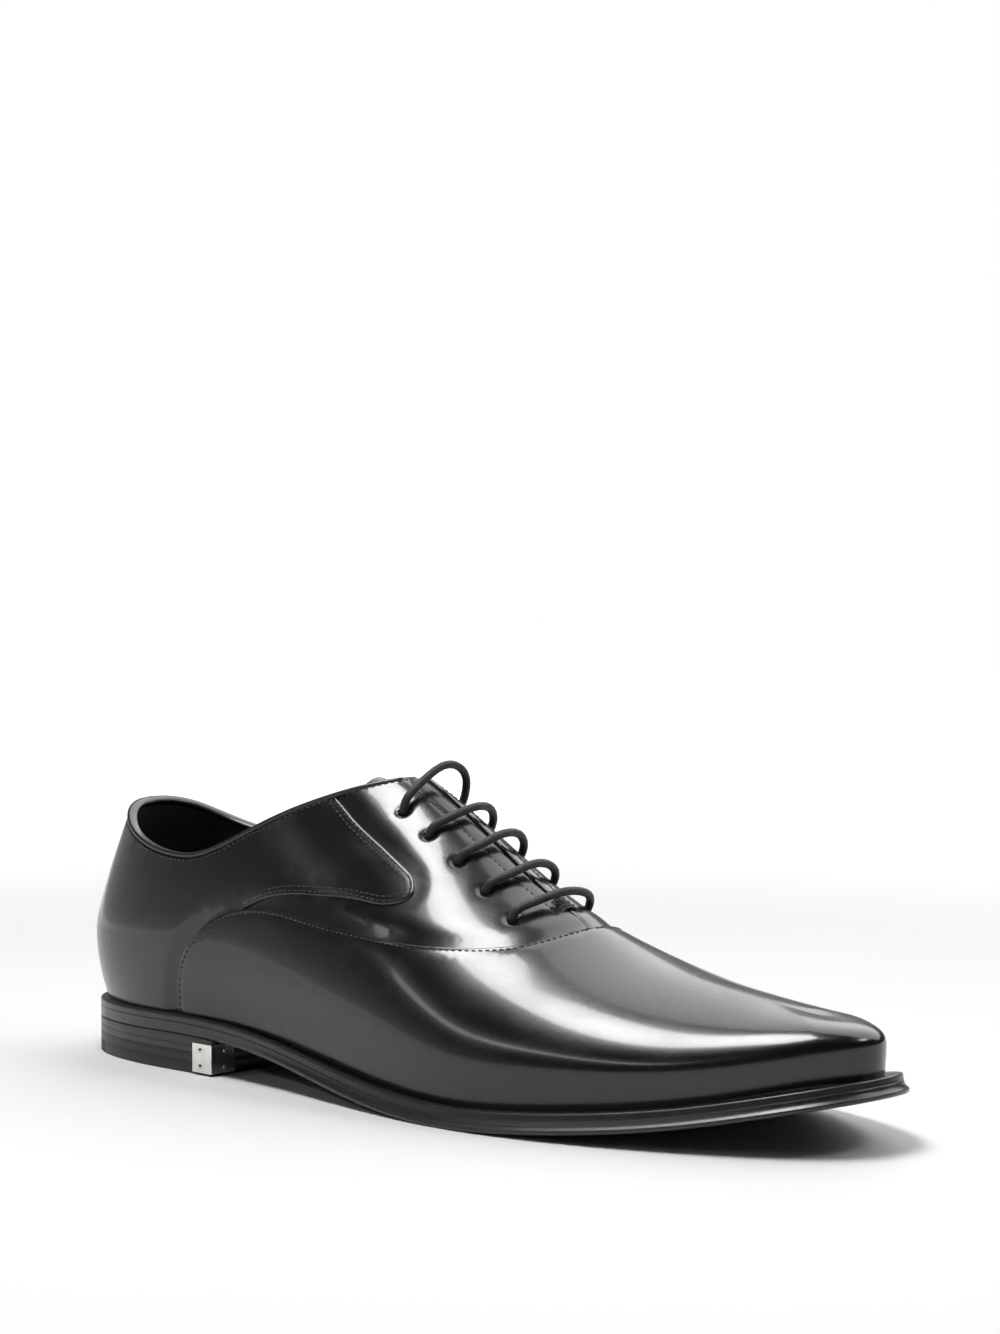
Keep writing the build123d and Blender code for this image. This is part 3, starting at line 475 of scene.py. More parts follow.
def panel(name, sides, cuts, rings, keep, depth, thick, spacing=1.7, join=False):
    """A leather panel: the last's surface cut along lines, at its own depth, with an underside and edges."""
    everything, tops, lowers, edges, start = [], [], [], [], 0
    for side in sides:
        ends = np.linspace(0, 1, 330)
        rails = [
            np.stack([ends, 0 * ends + 2], 1),
            np.stack([ends, bottom_v(ends, side)], 1),
            np.stack([0 * ends[::6], 2 * ends[::6]], 1),
            np.stack([0 * ends[::6] + 1, 2 * ends[::6]], 1),
        ]
        points, runs = [], []
        for line, loop in [(r, False) for r in rails] + cuts(side):
            first = len(points)
            points += [(u * U_SCALE, v * V_SCALE) for u, v in line]
            runs += [(first + i, first + i + 1) for i in range(len(line) - 1)]
            if loop:
                runs.append((len(points) - 1, first))
        extra = [(u * U_SCALE, v * V_SCALE) for line in rings(side) for u, v in line]
        fixed = np.array(points + extra)
        rows = np.arange(0, 2 * V_SCALE, spacing * 0.87)
        grid = []
        for k, row in enumerate(rows):
            row_u = np.arange(0.3 + 0.5 * spacing * (k % 2), U_SCALE, spacing)
            grid.append(np.stack([row_u, np.full_like(row_u, row)], 1))
        grid = np.vstack(grid)
        seen_at = surface(grid[:, 0] / U_SCALE, grid[:, 1] / V_SCALE, side)
        grid = grid[keep(seen_at, side, 3.0)]
        clear = np.ones(len(grid), bool)
        for i in range(0, len(grid), 2000):
            block = grid[i : i + 2000]
            gaps = ((block[:, None] - fixed[None]) ** 2).sum(2).min(1)
            clear[i : i + 2000] = gaps > (0.62 * spacing) ** 2
        spread = points + extra + [tuple(p) for p in grid[clear]]
        result = delaunay_2d_cdt([Vector(p) for p in spread], runs, [], 0, 1e-4)
        uv = np.array([(p[0] / U_SCALE, p[1] / V_SCALE) for p in result[0]])
        uv = np.clip(uv, [0, 0], [1, 2])
        faces = np.array([f for f in result[2] if len(f) == 3])
        middle = uv[faces].mean(1)
        faces = faces[keep(surface(middle[:, 0], middle[:, 1], side), side, 0.0)]
        used = np.unique(faces)
        again = np.full(len(uv), -1)
        again[used] = np.arange(len(used))
        faces, uv = again[faces], uv[used]
        seen_at = surface(uv[:, 0], uv[:, 1], side)
        sunk, edge = depth(seen_at, side)
        under = sunk + thick(edge)
        top, low = surface(uv[:, 0], uv[:, 1], side, sunk), surface(uv[:, 0], uv[:, 1], side, under)
        triangle = top[faces[:, [0, 1, 2]]]
        facing = np.cross(triangle[:, 1] - triangle[:, 0], triangle[:, 2] - triangle[:, 0])
        out = outward(uv[faces].mean(1), side)
        turned = (facing * out).sum(1) < 0
        faces[turned] = faces[turned][:, ::-1]
        area = np.linalg.norm(facing, axis=1)
        everything.append(faces[area > 1e-5] + start)
        tops.append(top)
        lowers.append(low)
        edges.append(edge)
        start += len(top)
    top, low, edge, faces = np.vstack(tops), np.vstack(lowers), np.concatenate(edges), np.vstack(everything)
    if join:
        first_at, again = {}, np.arange(len(top))
        for i in np.nonzero(np.abs(top[:, 1]) < 0.02)[0]:
            again[i] = first_at.setdefault((round(top[i, 0], 2), round(top[i, 2], 2)), i)
        faces = again[faces]
        a, b, c = faces.T
        faces = faces[(a != b) & (b != c) & (a != c)]
        used = np.unique(faces)
        places = np.full(len(top), -1)
        places[used] = np.arange(len(used))
        faces, top, low, edge = places[faces], top[used], low[used], edge[used]
    points, faces, edge = closed(top, faces, low, edge)
    return new_mesh(name, points, faces, edge_gap=edge)


def rounded(distance, radius=0.55):
    """How far a cut edge of that radius falls away at a distance from it."""
    t = np.clip(1 - distance / radius, 0, 1)
    return radius * (1 - np.sqrt(1 - t * t))


def groove(distance, sunk=0.14, width=0.45):
    """The dip that a row of stitches pulls into the leather."""
    return sunk * np.exp(-((distance / width) ** 2))


def flesh(edge):
    """Thickness of the leather, thinned towards its edges."""
    return 0.85 + 0.4 * ease(edge / 8)


def tuck(points, line, hidden):
    """How far a panel drops where the next one covers it."""
    return UNDER_LAP * np.where(hidden, 1, 1 - ease(apart(points, line) / 7))


SHOWN_RINGS = (0.2, 0.5, 0.9, 1.5)
STITCH_ROWS = {"vamp": (1.2,), "quarter": (1.15, 2.6), "facing": (4.2,), "top": (2.3,)}


def aside(line, side, distance, goal):
    """A line moved along the surface to whichever side the goal test accepts."""
    for sign in (1, -1):
        moved = shifted(line, side, sign * distance)
        if len(moved) > 3:
            middle = moved[len(moved) // 2][None]
            if goal(surface(middle[:, 0], middle[:, 1], side))[0]:
                return moved
    raise ValueError("the line could not be moved aside")


def in_vamp(points):
    return within(points[:, [0, 2]], vamp_corners)


def in_facing(points):
    return within(points[:, [0, 2]], facing_corners)


def behind_nose(points):
    return ~in_facing(points)


def below_top(points, clear=0.0):
    """Which points lie below the leather's cut edge, by at least that much."""
    return within(points[:, [0, 2]] + [0, clear], under_top)


def in_gap(points, side):
    return (points[:, 0] < THROAT) & (side * points[:, 1] < gap_half(points[:, 0]))


def above_bottom(points):
    return points[:, 2] > welt_top(points[:, 0]) - UNDER_WELT_TOP - 0.1


ROWS = {}
for side in (-1, 1):
    lines = LINES[side]
    ROWS[side] = {
        "vamp": [aside(lines["seam"], side, d, in_vamp) for d in STITCH_ROWS["vamp"]],
        "quarter": [aside(lines["nose"], side, d, behind_nose) for d in STITCH_ROWS["quarter"]],
        "facing": [aside(lines["gap"], side, d, lambda p: ~in_gap(p, side)) for d in STITCH_ROWS["facing"]],
        "top": [aside(lines["top"], side, d, below_top) for d in STITCH_ROWS["top"]],
    }
ROW_POINTS = {
    side: {key: [surface(r[:, 0], r[:, 1], side) for r in rows] for key, rows in ROWS[side].items()}
    for side in (-1, 1)
}


# Which points a panel keeps (reach widens the test), how deep its face lies, and the distance to its edge.
def vamp_keep(points, side, reach):
    inside = in_vamp(points)
    if reach > 0:
        inside |= apart(points, OUTLINES[side]["seam"]) < reach
    return inside & above_bottom(points)


def vamp_depth(points, side):
    edge = apart(points, OUTLINES[side]["seam"])
    return rounded(edge) + sum(groove(apart(points, r)) for r in ROW_POINTS[side]["vamp"]), edge


def quarter_keep(points, side, reach):
    hidden = in_vamp(points) & (apart(points, OUTLINES[side]["seam"]) > LAP + reach)
    return ~hidden & ~in_facing(points) & above_bottom(points) & below_top(points)


def quarter_depth(points, side):
    nose = apart(points, OUTLINES[side]["nose"])
    seam = tuck(points, OUTLINES[side]["seam"], in_vamp(points))
    back = rounded(np.abs(points[:, 1]) + np.where(points[:, 0] < 40, 0, 9), 0.5)
    rows = sum(groove(apart(points, r)) for r in ROW_POINTS[side]["quarter"] + ROW_POINTS[side]["top"])
    bead = 0.12 * (1 - ease(apart(points, OUTLINES[side]["top"]) / 3))
    return rounded(nose) + seam + back + rows + bead, nose


FACING_LOW = 46.0


def facing_keep(points, side, reach):
    open_side = in_facing(points) | (apart(points, OUTLINES[side]["nose"]) < LAP + reach)
    shown = ~in_vamp(points) | (apart(points, OUTLINES[side]["seam"]) < LAP + reach)
    clear = np.ones(len(points), bool)
    for hole in HOLE_POINTS[side]:
        clear &= np.linalg.norm(points - hole, axis=1) > HOLE_RADIUS * 0.97
    high = points[:, 2] > FACING_LOW
    return open_side & shown & clear & ~in_gap(points, side) & below_top(points) & high


def facing_depth(points, side):
    gap = apart(points, OUTLINES[side]["gap"])
    gap = np.where(points[:, 0] > THROAT, 9, gap)
    seam = tuck(points, OUTLINES[side]["seam"], in_vamp(points))
    nose = tuck(points, OUTLINES[side]["nose"], ~in_facing(points))
    rows = sum(groove(apart(points, r)) for r in ROW_POINTS[side]["facing"] + ROW_POINTS[side]["top"])
    pull = 0
    for hole in HOLE_POINTS[side]:
        pull = pull + 0.55 * np.exp(-(((np.linalg.norm(points - hole, axis=1) - HOLE_RADIUS) / 1.1) ** 2))
    return rounded(gap, 0.6) + seam + nose + rows + pull, gap


def around(lines, side, distances):
    """Rings beside a line on both sides of it."""
    return [shifted(line, side, s * d) for line in lines for d in distances for s in (1, -1)]


def vamp_cuts(side):
    return [(LINES[side]["seam"], False)]


def vamp_rings(side):
    return around([LINES[side]["seam"]], side, SHOWN_RINGS) + around(ROWS[side]["vamp"], side, (0.5,))


def quarter_cuts(side):
    lap = aside(LINES[side]["seam"], side, LAP, in_vamp)
    return [(LINES[side]["nose"], False), (LINES[side]["cut"], False), (lap, False)]


def quarter_rings(side):
    seam = [LINES[side]["seam"]]
    rings = around([LINES[side]["nose"]], side, SHOWN_RINGS) + around(seam, side, (0.5, 1.6)) + seam
    ends = np.linspace(0, 2, 100)
    backs = [np.stack([0 * ends + u, ends], 1) for u in (0.0015, 0.004)]
    return rings + ROWS[side]["quarter"] + ROWS[side]["top"] + backs


def facing_cuts(side):
    lines = LINES[side]
    seam_lap = aside(lines["seam"], side, LAP, in_vamp)
    nose_lap = aside(lines["nose"], side, LAP, behind_nose)
    holes = [(ring_around(c, side, HOLE_RADIUS), True) for c in HOLES[side]]
    throat_u = np.interp(THROAT, surface(ridge_line, 2, 1)[:, 0], ridge_line)
    throat = np.array([lines["gap"][-1], [throat_u, 2.0]])
    return [(line, False) for line in (lines["gap"], lines["cut"], seam_lap, nose_lap, throat)] + holes


def facing_rings(side):
    lines = LINES[side]
    rings = around([lines["gap"]], side, (0.2, 0.45, 0.8, 1.3))
    rings += around([lines["seam"], lines["nose"]], side, (0.6,))
    for c in HOLES[side]:
        rings += [ring_around(c, side, HOLE_RADIUS + d, 24) for d in (0.35, 0.8, 1.4, 2.2)]
    return rings + ROWS[side]["facing"] + around(ROWS[side]["facing"], side, (0.5,)) + ROWS[side]["top"]


PANELS = {
    "vamp": panel("vamp_leather", (-1, 1), vamp_cuts, vamp_rings, vamp_keep, vamp_depth, flesh, join=True),
}
for side, word in ((-1, "lateral"), (1, "medial")):
    PANELS[f"quarter_{word}"] = panel(
        f"quarter_leather_{word}", (side,), quarter_cuts, quarter_rings, quarter_keep, quarter_depth, flesh
    )
    PANELS[f"facing_{word}"] = panel(
        f"facing_leather_{word}", (side,), facing_cuts, facing_rings, facing_keep, facing_depth, flesh, 1.4
    )
for node, piece in PANELS.items():
    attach(piece, "shoe")
    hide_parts(node)
    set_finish(piece, "upper_leather")

# ---------------------------------------------------------------- swept pieces


def frames(path):
    """Unit directions along a path."""
    ahead = np.gradient(path, axis=0)
    return ahead / (np.linalg.norm(ahead, axis=1)[:, None] + 1e-12)


def swept(path, first, second, sections):
    """Points and faces of a capped tube: sections is (rings, corners, 2), placed along two directions."""
    rings, corners = sections.shape[:2]
    points = path[:, None] + sections[..., :1] * first[:, None] + sections[..., 1:] * second[:, None]
    points = points.reshape(-1, 3)
    faces = []
    for r in range(rings - 1):
        for k in range(corners):
            a, b = r * corners + k, r * corners + (k + 1) % corners
            faces.append((a, b, b + corners, a + corners))
    points = np.vstack([points, path[:1], path[-1:]])
    tip = rings * corners
    for k in range(corners):
        faces.append((tip, (k + 1) % corners, k))
        faces.append((tip + 1, tip - corners + k, tip - corners + (k + 1) % corners))
    return points, faces


def circle_sections(radii, corners):
    """Round sections, one radius for each ring."""
    angles = np.linspace(0, 2 * np.pi, corners, endpoint=False)
    ring = np.stack([np.cos(angles), np.sin(angles)], 1)
    return np.asarray(radii)[:, None, None] * ring[None]


def twist_free(path):
    """Two directions across a path that turn as little as possible."""
    along = frames(path)
    first = np.zeros_like(path)
    start = np.cross(along[0], [0.3, 0.2, 1.0])
    first[0] = start / np.linalg.norm(start)
    for i in range(1, len(path)):
        carried = first[i - 1] - along[i] * (along[i] @ first[i - 1])
        first[i] = carried / np.linalg.norm(carried)
    return first, np.cross(along, first)


# ---------------------------------------------------------------- stitching
STITCH, PITCH, THREAD_RADIUS = 1.5, 2.05, 0.22
stitch_random = random.Random(7)
stitch_points, stitch_faces = [], []


def sew(uv, side, depth):
    """Add a row of stitches along a line, sunk a little into the leather."""
    on_last = surface(uv[:, 0], uv[:, 1], side)
    run = np.concatenate([[0], np.cumsum(np.linalg.norm(np.diff(on_last, axis=0), axis=1))])
    sunk = depth(on_last, side)[0]
    for centre in np.arange(PITCH / 2, run[-1] - PITCH / 2, PITCH):
        half = STITCH / 2 + stitch_random.uniform(-0.06, 0.06)
        at = centre + np.linspace(-half, half, 7)
        place = np.stack([np.interp(at, run, uv[:, 0]), np.interp(at, run, uv[:, 1])], 1)
        lift = 0.14 * np.cos(np.linspace(-np.pi / 2, np.pi / 2, 7)) - 0.06
        path = surface(place[:, 0], place[:, 1], side, np.interp(at, run, sunk) - lift)
        if np.linalg.norm(path[-1] - path[0]) < 0.5:
            continue
        first, second = twist_free(path)
        lean = stitch_random.uniform(0.02, 0.09)
        path = path + np.linspace(-lean, lean, 7)[:, None] * first
        radii = THREAD_RADIUS * np.array([0.35, 0.85, 1, 1.05, 1, 0.85, 0.35])
        points, faces = swept(path, first, second, circle_sections(radii, 6))
        start = sum(len(p) for p in stitch_points)
        stitch_points.append(points)
        stitch_faces.extend(tuple(i + start for i in f) for f in faces)


def shown(row, side, hidden):
    """The stretches of a row that no other panel covers."""
    p = surface(row[:, 0], row[:, 1], side)
    clear = ~hidden(p)
    best, start = (0, 0), None
    for i, good in enumerate([*clear, False]):
        if good and start is None:
            start = i
        if not good and start is not None:
            if i - start > best[1] - best[0]:
                best = (start, i)
            start = None
    return row[best[0] : best[1]]


for side in (-1, 1):
    for row in ROWS[side]["vamp"]:
        sew(shown(row, side, lambda p: ~above_bottom(p - [0, 0, 0.8])), side, vamp_depth)
    for row in ROWS[side]["quarter"]:
        sew(shown(row, side, lambda p: in_vamp(p) | in_facing(p) | ~below_top(p, 1.5)), side, quarter_depth)
    for row in ROWS[side]["facing"]:
        sew(shown(row, side, lambda p: in_vamp(p) | ~below_top(p, 3)), side, facing_depth)
    for row in ROWS[side]["top"]:
        sew(shown(row, side, lambda p: in_facing(p) | in_vamp(p)), side, quarter_depth)
        sew(shown(row, side, lambda p: ~in_facing(p) | in_vamp(p) | in_gap(p, side)), side, facing_depth)
stitching = new_mesh("stitching", np.vstack(stitch_points), stitch_faces)
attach(stitching, "shoe")
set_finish(stitching, "thread")

# ---------------------------------------------------------------- rolled binding of the topline
BEAD_DEPTH, BEAD_DROP, BEAD_HALF, BEAD_RISE = 1.6, 0.55, 1.72, 0.95


def bead_side(side):
    """Path and directions of one side's bead, from the facing's edge back to the heel."""
    uv = LINES[side]["top"]
    on_last = surface(uv[:, 0], uv[:, 1], side)
    uv = uv[side * on_last[:, 1] > np.where(on_last[:, 0] < 100, -1, gap_half(on_last[:, 0]) + 0.9)]
    if surface(uv[:1, 0], uv[:1, 1], side)[0, 0] < 60:
        uv = uv[::-1]
    middle = surface(uv[:, 0], uv[:, 1], side, BEAD_DEPTH)
    return middle, outward(uv, side, BEAD_DEPTH)


outer_path, outer_normal = bead_side(-1)
inner_path, inner_normal = bead_side(1)
bead_path = np.vstack([outer_path, inner_path[::-1][1:]])
bead_normal = np.vstack([outer_normal, inner_normal[::-1][1:]])
apart_by = np.concatenate([[True], np.linalg.norm(np.diff(bead_path, axis=0), axis=1) > 0.3])
bead_path, bead_normal = bead_path[apart_by], bead_normal[apart_by]
bead_along = frames(bead_path)
bead_rise = np.cross(bead_along, bead_normal)
bead_rise /= np.linalg.norm(bead_rise, axis=1)[:, None]
bead_rise *= np.where(bead_rise[:, 2:] < 0, -1, 1)
bead_out = np.cross(bead_rise, bead_along)
bead_normal = bead_out * np.where((bead_out * bead_normal).sum(1) < 0, -1, 1)[:, None]
bead_run = np.concatenate([[0], np.cumsum(np.linalg.norm(np.diff(bead_path, axis=0), axis=1))])
close_to_end = np.minimum(bead_run, bead_run[-1] - bead_run)
taper = np.sqrt(np.clip(1 - (1 - np.clip(close_to_end / 1.6, 0, 1)) ** 2, 0.02, 1))
angles = np.linspace(0, 2 * np.pi, 22, endpoint=False)
cosine, sine = np.cos(angles), np.sin(angles)
oval_across = np.sign(cosine) * np.abs(cosine) ** 0.8 * BEAD_HALF
oval_up = np.sign(sine) * np.abs(sine) ** 0.9 * BEAD_RISE
oval = np.stack([oval_across, oval_up], 1)
bead_sections = taper[:, None, None] * oval[None]
bead_points, bead_faces = swept(bead_path - BEAD_DROP * bead_rise, bead_normal, bead_rise, bead_sections)
binding = new_mesh("topline_bead", bead_points, bead_faces)
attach(binding, "shoe")
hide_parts("topline_binding")
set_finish(binding, "binding_leather")

# ---------------------------------------------------------------- lace
route = bpy.data.curves.new("lace_route", "CURVE")
route.dimensions = "3D"
route.resolution_u = 24
line = route.splines.new("NURBS")
line.points.add(len(LACE_ROUTE) - 1)
for point, place in zip(line.points, metres(LACE_ROUTE)):
    point.co = (*place, 1)
line.order_u = 3
line.use_endpoint_u = True
route_holder = bpy.data.objects.new("lace_route", route)
route_mesh = bpy.data.meshes.new_from_object(route_holder)
centre_line = np.array([v.co[:] for v in route_mesh.vertices]) * 1000 - [HEEL_X, AXIS_Y, 0]
bpy.data.objects.remove(route_holder)
bpy.data.curves.remove(route)
bpy.data.meshes.remove(route_mesh)
lace_run = np.concatenate([[0], np.cumsum(np.linalg.norm(np.diff(centre_line, axis=0), axis=1))])
LACE_STEP = 0.42
lace_at = np.arange(0, lace_run[-1], LACE_STEP)
lace_path = np.stack([np.interp(lace_at, lace_run, centre_line[:, k]) for k in range(3)], 1)
for _ in range(3):
    lace_path[1:-1] = (lace_path[:-2] + 2 * lace_path[1:-1] + lace_path[2:]) / 4
lace_first, lace_second = twist_free(lace_path)
corners = np.linspace(0, 2 * np.pi, 20, endpoint=False)
BRAID_PITCH, BRAID_STRANDS, BRAID_HEIGHT = 3.4, 5, 0.07
turn = 2 * np.pi * lace_at / BRAID_PITCH
plait = np.maximum(
    np.abs(np.sin((BRAID_STRANDS * corners[None] + turn[:, None]) / 2)),
    np.abs(np.sin((BRAID_STRANDS * corners[None] - turn[:, None]) / 2)),
)
lace_radii = LACE_RADIUS - 0.05 + BRAID_HEIGHT * (plait - 0.6)
ring = np.stack([np.cos(corners), np.sin(corners)], 1)
lace_points, lace_faces = swept(lace_path, lace_first, lace_second, lace_radii[..., None] * ring[None])
lace = new_mesh("lace_cord", lace_points, lace_faces)
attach(lace, "shoe")
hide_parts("lace")
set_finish(lace, "lace_cotton")

# ---------------------------------------------------------------- bar tack: wound threads at the throat
TACK_THREADS, TACK_START, TACK_PITCH, TACK_REACH, TACK_THREAD_RADIUS = 7, 184.6, 0.75, 3.4, 0.34
tack_random = random.Random(3)
tack_points, tack_faces, count = [], [], 0
for k in range(TACK_THREADS):
    station = TACK_START + TACK_PITCH * k
    reach = TACK_REACH + tack_random.uniform(-0.4, 0.5)
    across = np.linspace(-1, 1, 17)
    slant = tack_random.uniform(-0.35, 0.35)
    rise = 0.35 + 0.5 * np.cos(across * np.pi / 2) + tack_random.uniform(-0.1, 0.15)
    fall = 0.9 * across**2 * (reach / 3.6) ** 2 + 0.55 * across**8
    path = np.stack([station + slant * across, reach * across, ridge_height(station) + rise - fall], 1)
    first, second = twist_free(path)
    points, faces = swept(path, first, second, circle_sections(np.full(17, TACK_THREAD_RADIUS), 8))
    tack_points.append(points)
    tack_faces += [tuple(i + count for i in f) for f in faces]
    count += len(points)
tack = new_mesh("bar_tack_threads", np.vstack(tack_points), tack_faces)
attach(tack, "shoe")
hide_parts("throat_bar_tack")
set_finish(tack, "thread")

# ---------------------------------------------------------------- tongue
TONGUE_TOP, TONGUE_ROOT, TONGUE_HALF, TONGUE_CORNER = 112.0, 194.0, 17.0, 7.0
TONGUE_GRID = 1.5
tongue_outline = []
near_top, near_root = TONGUE_TOP + TONGUE_CORNER, TONGUE_ROOT - TONGUE_CORNER
beside = TONGUE_HALF - TONGUE_CORNER
for cx, cy, start in (
    (near_root, beside, 0),
    (near_top, beside, 90),
    (near_top, -beside, 180),
    (near_root, -beside, 270),
):
    for angle in np.radians(start + np.linspace(0, 90, 10)):
        tongue_outline.append((cx + TONGUE_CORNER * math.cos(angle), cy + TONGUE_CORNER * math.sin(angle)))
tongue_outline = np.array(tongue_outline)
dense = []
for a, b in zip(tongue_outline, np.roll(tongue_outline, -1, axis=0)):
    steps = max(1, int(np.linalg.norm(b - a) / 1.2))
    dense += [a + (b - a) * i / steps for i in range(steps)]
dense = np.array(dense)
tongue_spread = [tuple(p) for p in dense]
tongue_runs = [(i, (i + 1) % len(dense)) for i in range(len(dense))]
loop3 = np.column_stack([np.vstack([dense, dense[:1]]), np.zeros(len(dense) + 1)])
grid_x = np.arange(TONGUE_TOP + 1, TONGUE_ROOT, TONGUE_GRID)
grid_y = np.arange(0.5 - TONGUE_HALF, TONGUE_HALF, TONGUE_GRID)
grid = np.array([(x, y) for x in grid_x for y in grid_y])
gaps = apart(np.column_stack([grid, np.zeros(len(grid))]), loop3)
grid = grid[within(grid, dense) & (gaps > 1.7)]
middle = np.array([(TONGUE_TOP + TONGUE_ROOT) / 2, 0.0])
for inset in (0.25, 0.6, 1.1):
    scale = 1 - inset / np.array([(TONGUE_ROOT - TONGUE_TOP) / 2, TONGUE_HALF])
    tongue_spread += [tuple(middle + (p - middle) * scale) for p in dense]
tongue_spread += [tuple(p) for p in grid]
result = delaunay_2d_cdt([Vector(p) for p in tongue_spread], tongue_runs, [], 1, 1e-4)
plan = np.array([p[:] for p in result[0]])
faces = np.array([f for f in result[2] if len(f) == 3])
gaps = apart(np.column_stack([plan, np.zeros(len(plan))]), loop3)
tongue_sides = np.where(plan[:, 1] < 0, -1, 1)
tongue_uv = np.zeros_like(plan)
for side in (-1, 1):
    mine = tongue_sides == side
    offsets = np.where(np.abs(plan[mine, 1]) < 0.02, 0.02 * side, plan[mine, 1])
    target = np.column_stack([plan[mine, 0], offsets])
    tongue_uv[mine] = invert(target, (0, 1), side, TONGUE_DEPTH)[0]
pillow = 0.35 * ease(gaps / 5) - 0.35
top_depth = TONGUE_DEPTH + 0.05 + rounded(gaps, 0.8) - pillow
low_depth = TONGUE_DEPTH + TONGUE_THICK - rounded(gaps, 0.5) - 0.1
tongue_top = surface(tongue_uv[:, 0], tongue_uv[:, 1], tongue_sides, top_depth)
tongue_low = surface(tongue_uv[:, 0], tongue_uv[:, 1], tongue_sides, low_depth)
points, faces, gaps = closed(tongue_top, faces, tongue_low, gaps)
tongue = new_mesh("tongue_leather", points, faces, edge_gap=gaps)
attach(tongue, "tongue_body")
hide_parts("tongue", "tongue_lining")
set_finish(tongue, "upper_leather")

# ---------------------------------------------------------------- sole and heel
SOLE_STEPS = 260


def outline(ends, width):
    """A closed plan outline with its outward directions: outer side heel to toe, then the inner side back."""
    u = np.linspace(0, 1, SOLE_STEPS)
    loop = []
    for side, order in ((-1, u), (1, u[::-1][1:-1])):
        x, y = plan_point(order, side, ends, width, 0.0)
        ox, oy = plan_point(order, side, ends, width, -1.0)
        loop.append(np.stack([x, y, ox - x, oy - y], 1))
    return np.vstack(loop)


def ribbon(loop, profile):
    """Rings round an outline; each step of the profile is (outwards, down) from the welt's top."""
    rings = []
    for out, down in profile:
        x, y = loop[:, 0] + out * loop[:, 2], loop[:, 1] + out * loop[:, 3]
        rings.append(np.stack([x, y, np.maximum(welt_top(x) - down, 0)], 1))
    return rings


def skinned(rings, wrap):
    """Faces between rings, the last joined to the first when they wrap round."""
    count, size = len(rings), len(rings[0])
    faces = []
    for r in range(count if wrap else count - 1):
        for k in range(size):
            a, b = r * size + k, r * size + (k + 1) % size
            c, d = (r + 1) % count * size + (k + 1) % size, (r + 1) % count * size + k
            faces.append((a, d, c, b))
    return faces


def bridged(size, first, turned):
    """Quads across a loop that runs out along one side and back along the other."""
    faces = []
    half = size // 2
    for k in range(half):
        a, b = k, k + 1
        c, d = (size - k - 1) % size, (size - k) % size
        quad = list(dict.fromkeys(first + i for i in (a, b, c, d)))
        if len(quad) > 2:
            faces.append(tuple(quad if turned else reversed(quad)))
    return faces


LIP_MOST = 2.3
welt_loop = outline(WELT_ENDS, welt_width)
lip_table = natural([0, 60, 95, 130, 165, 220, 307], [0, 0, 0.35, 1.4, 2.2, 2.2, 1.8])
lip = np.clip(lip_table(welt_loop[:, 0]), 0, LIP_MOST)
welt_inner = -(WALL + 3.5)

# A rounded ledge whose edge leans out towards the lip, closed on its inner side.
welt_profile = [
    (welt_inner, 0.0), (-4.0, -0.02), (-1.2, -0.02), (-0.5, 0.03), (-0.15, 0.22), (0, 0.6),
    (0.04 * lip, 1.2), (0.1 * lip, 1.9), (0.16 * lip, WELT - 0.05), (0.14 * lip - 0.04, WELT),
    (welt_inner, WELT),
]
welt_rings = ribbon(welt_loop, welt_profile)
welt_piece = new_mesh("welt_ledge", np.vstack(welt_rings), skinned(welt_rings, True))
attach(welt_piece, "shoe")
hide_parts("welt")
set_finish(welt_piece, "welt_leather")

# A hollow edge above a lip that stands out from the waist to the toe, then the rounded tread's edge.
outsole_profile = [
    (out, WELT + down)
    for out, down in (
        (-9.0, 0), (0.14 * lip - 0.04, 0), (0.16 * lip, 0.05), (0.22 * lip, 0.6), (0.34 * lip, 1.2),
        (0.56 * lip, 1.8), (0.84 * lip, 2.25), (0.96 * lip, 2.45), (lip, 2.7), (lip, 3.2),
        (lip - 0.12, 3.5), (lip - 0.5, 3.74), (lip - 1.2, 3.8), (lip - 5.0, 3.82),
    )
]
outsole_rings = ribbon(welt_loop, outsole_profile)
size = len(welt_loop)
outsole_faces = skinned(outsole_rings, False)
outsole_faces += bridged(size, 0, True) + bridged(size, (len(outsole_rings) - 1) * size, False)
outsole_piece = new_mesh("outsole_edge", np.vstack(outsole_rings), outsole_faces)
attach(outsole_piece, "shoe")
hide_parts("outsole")
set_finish(outsole_piece, "sole_leather")


BEVEL, CAP_SCALE, ACROSS_STEPS = 0.07, 0.8, 26


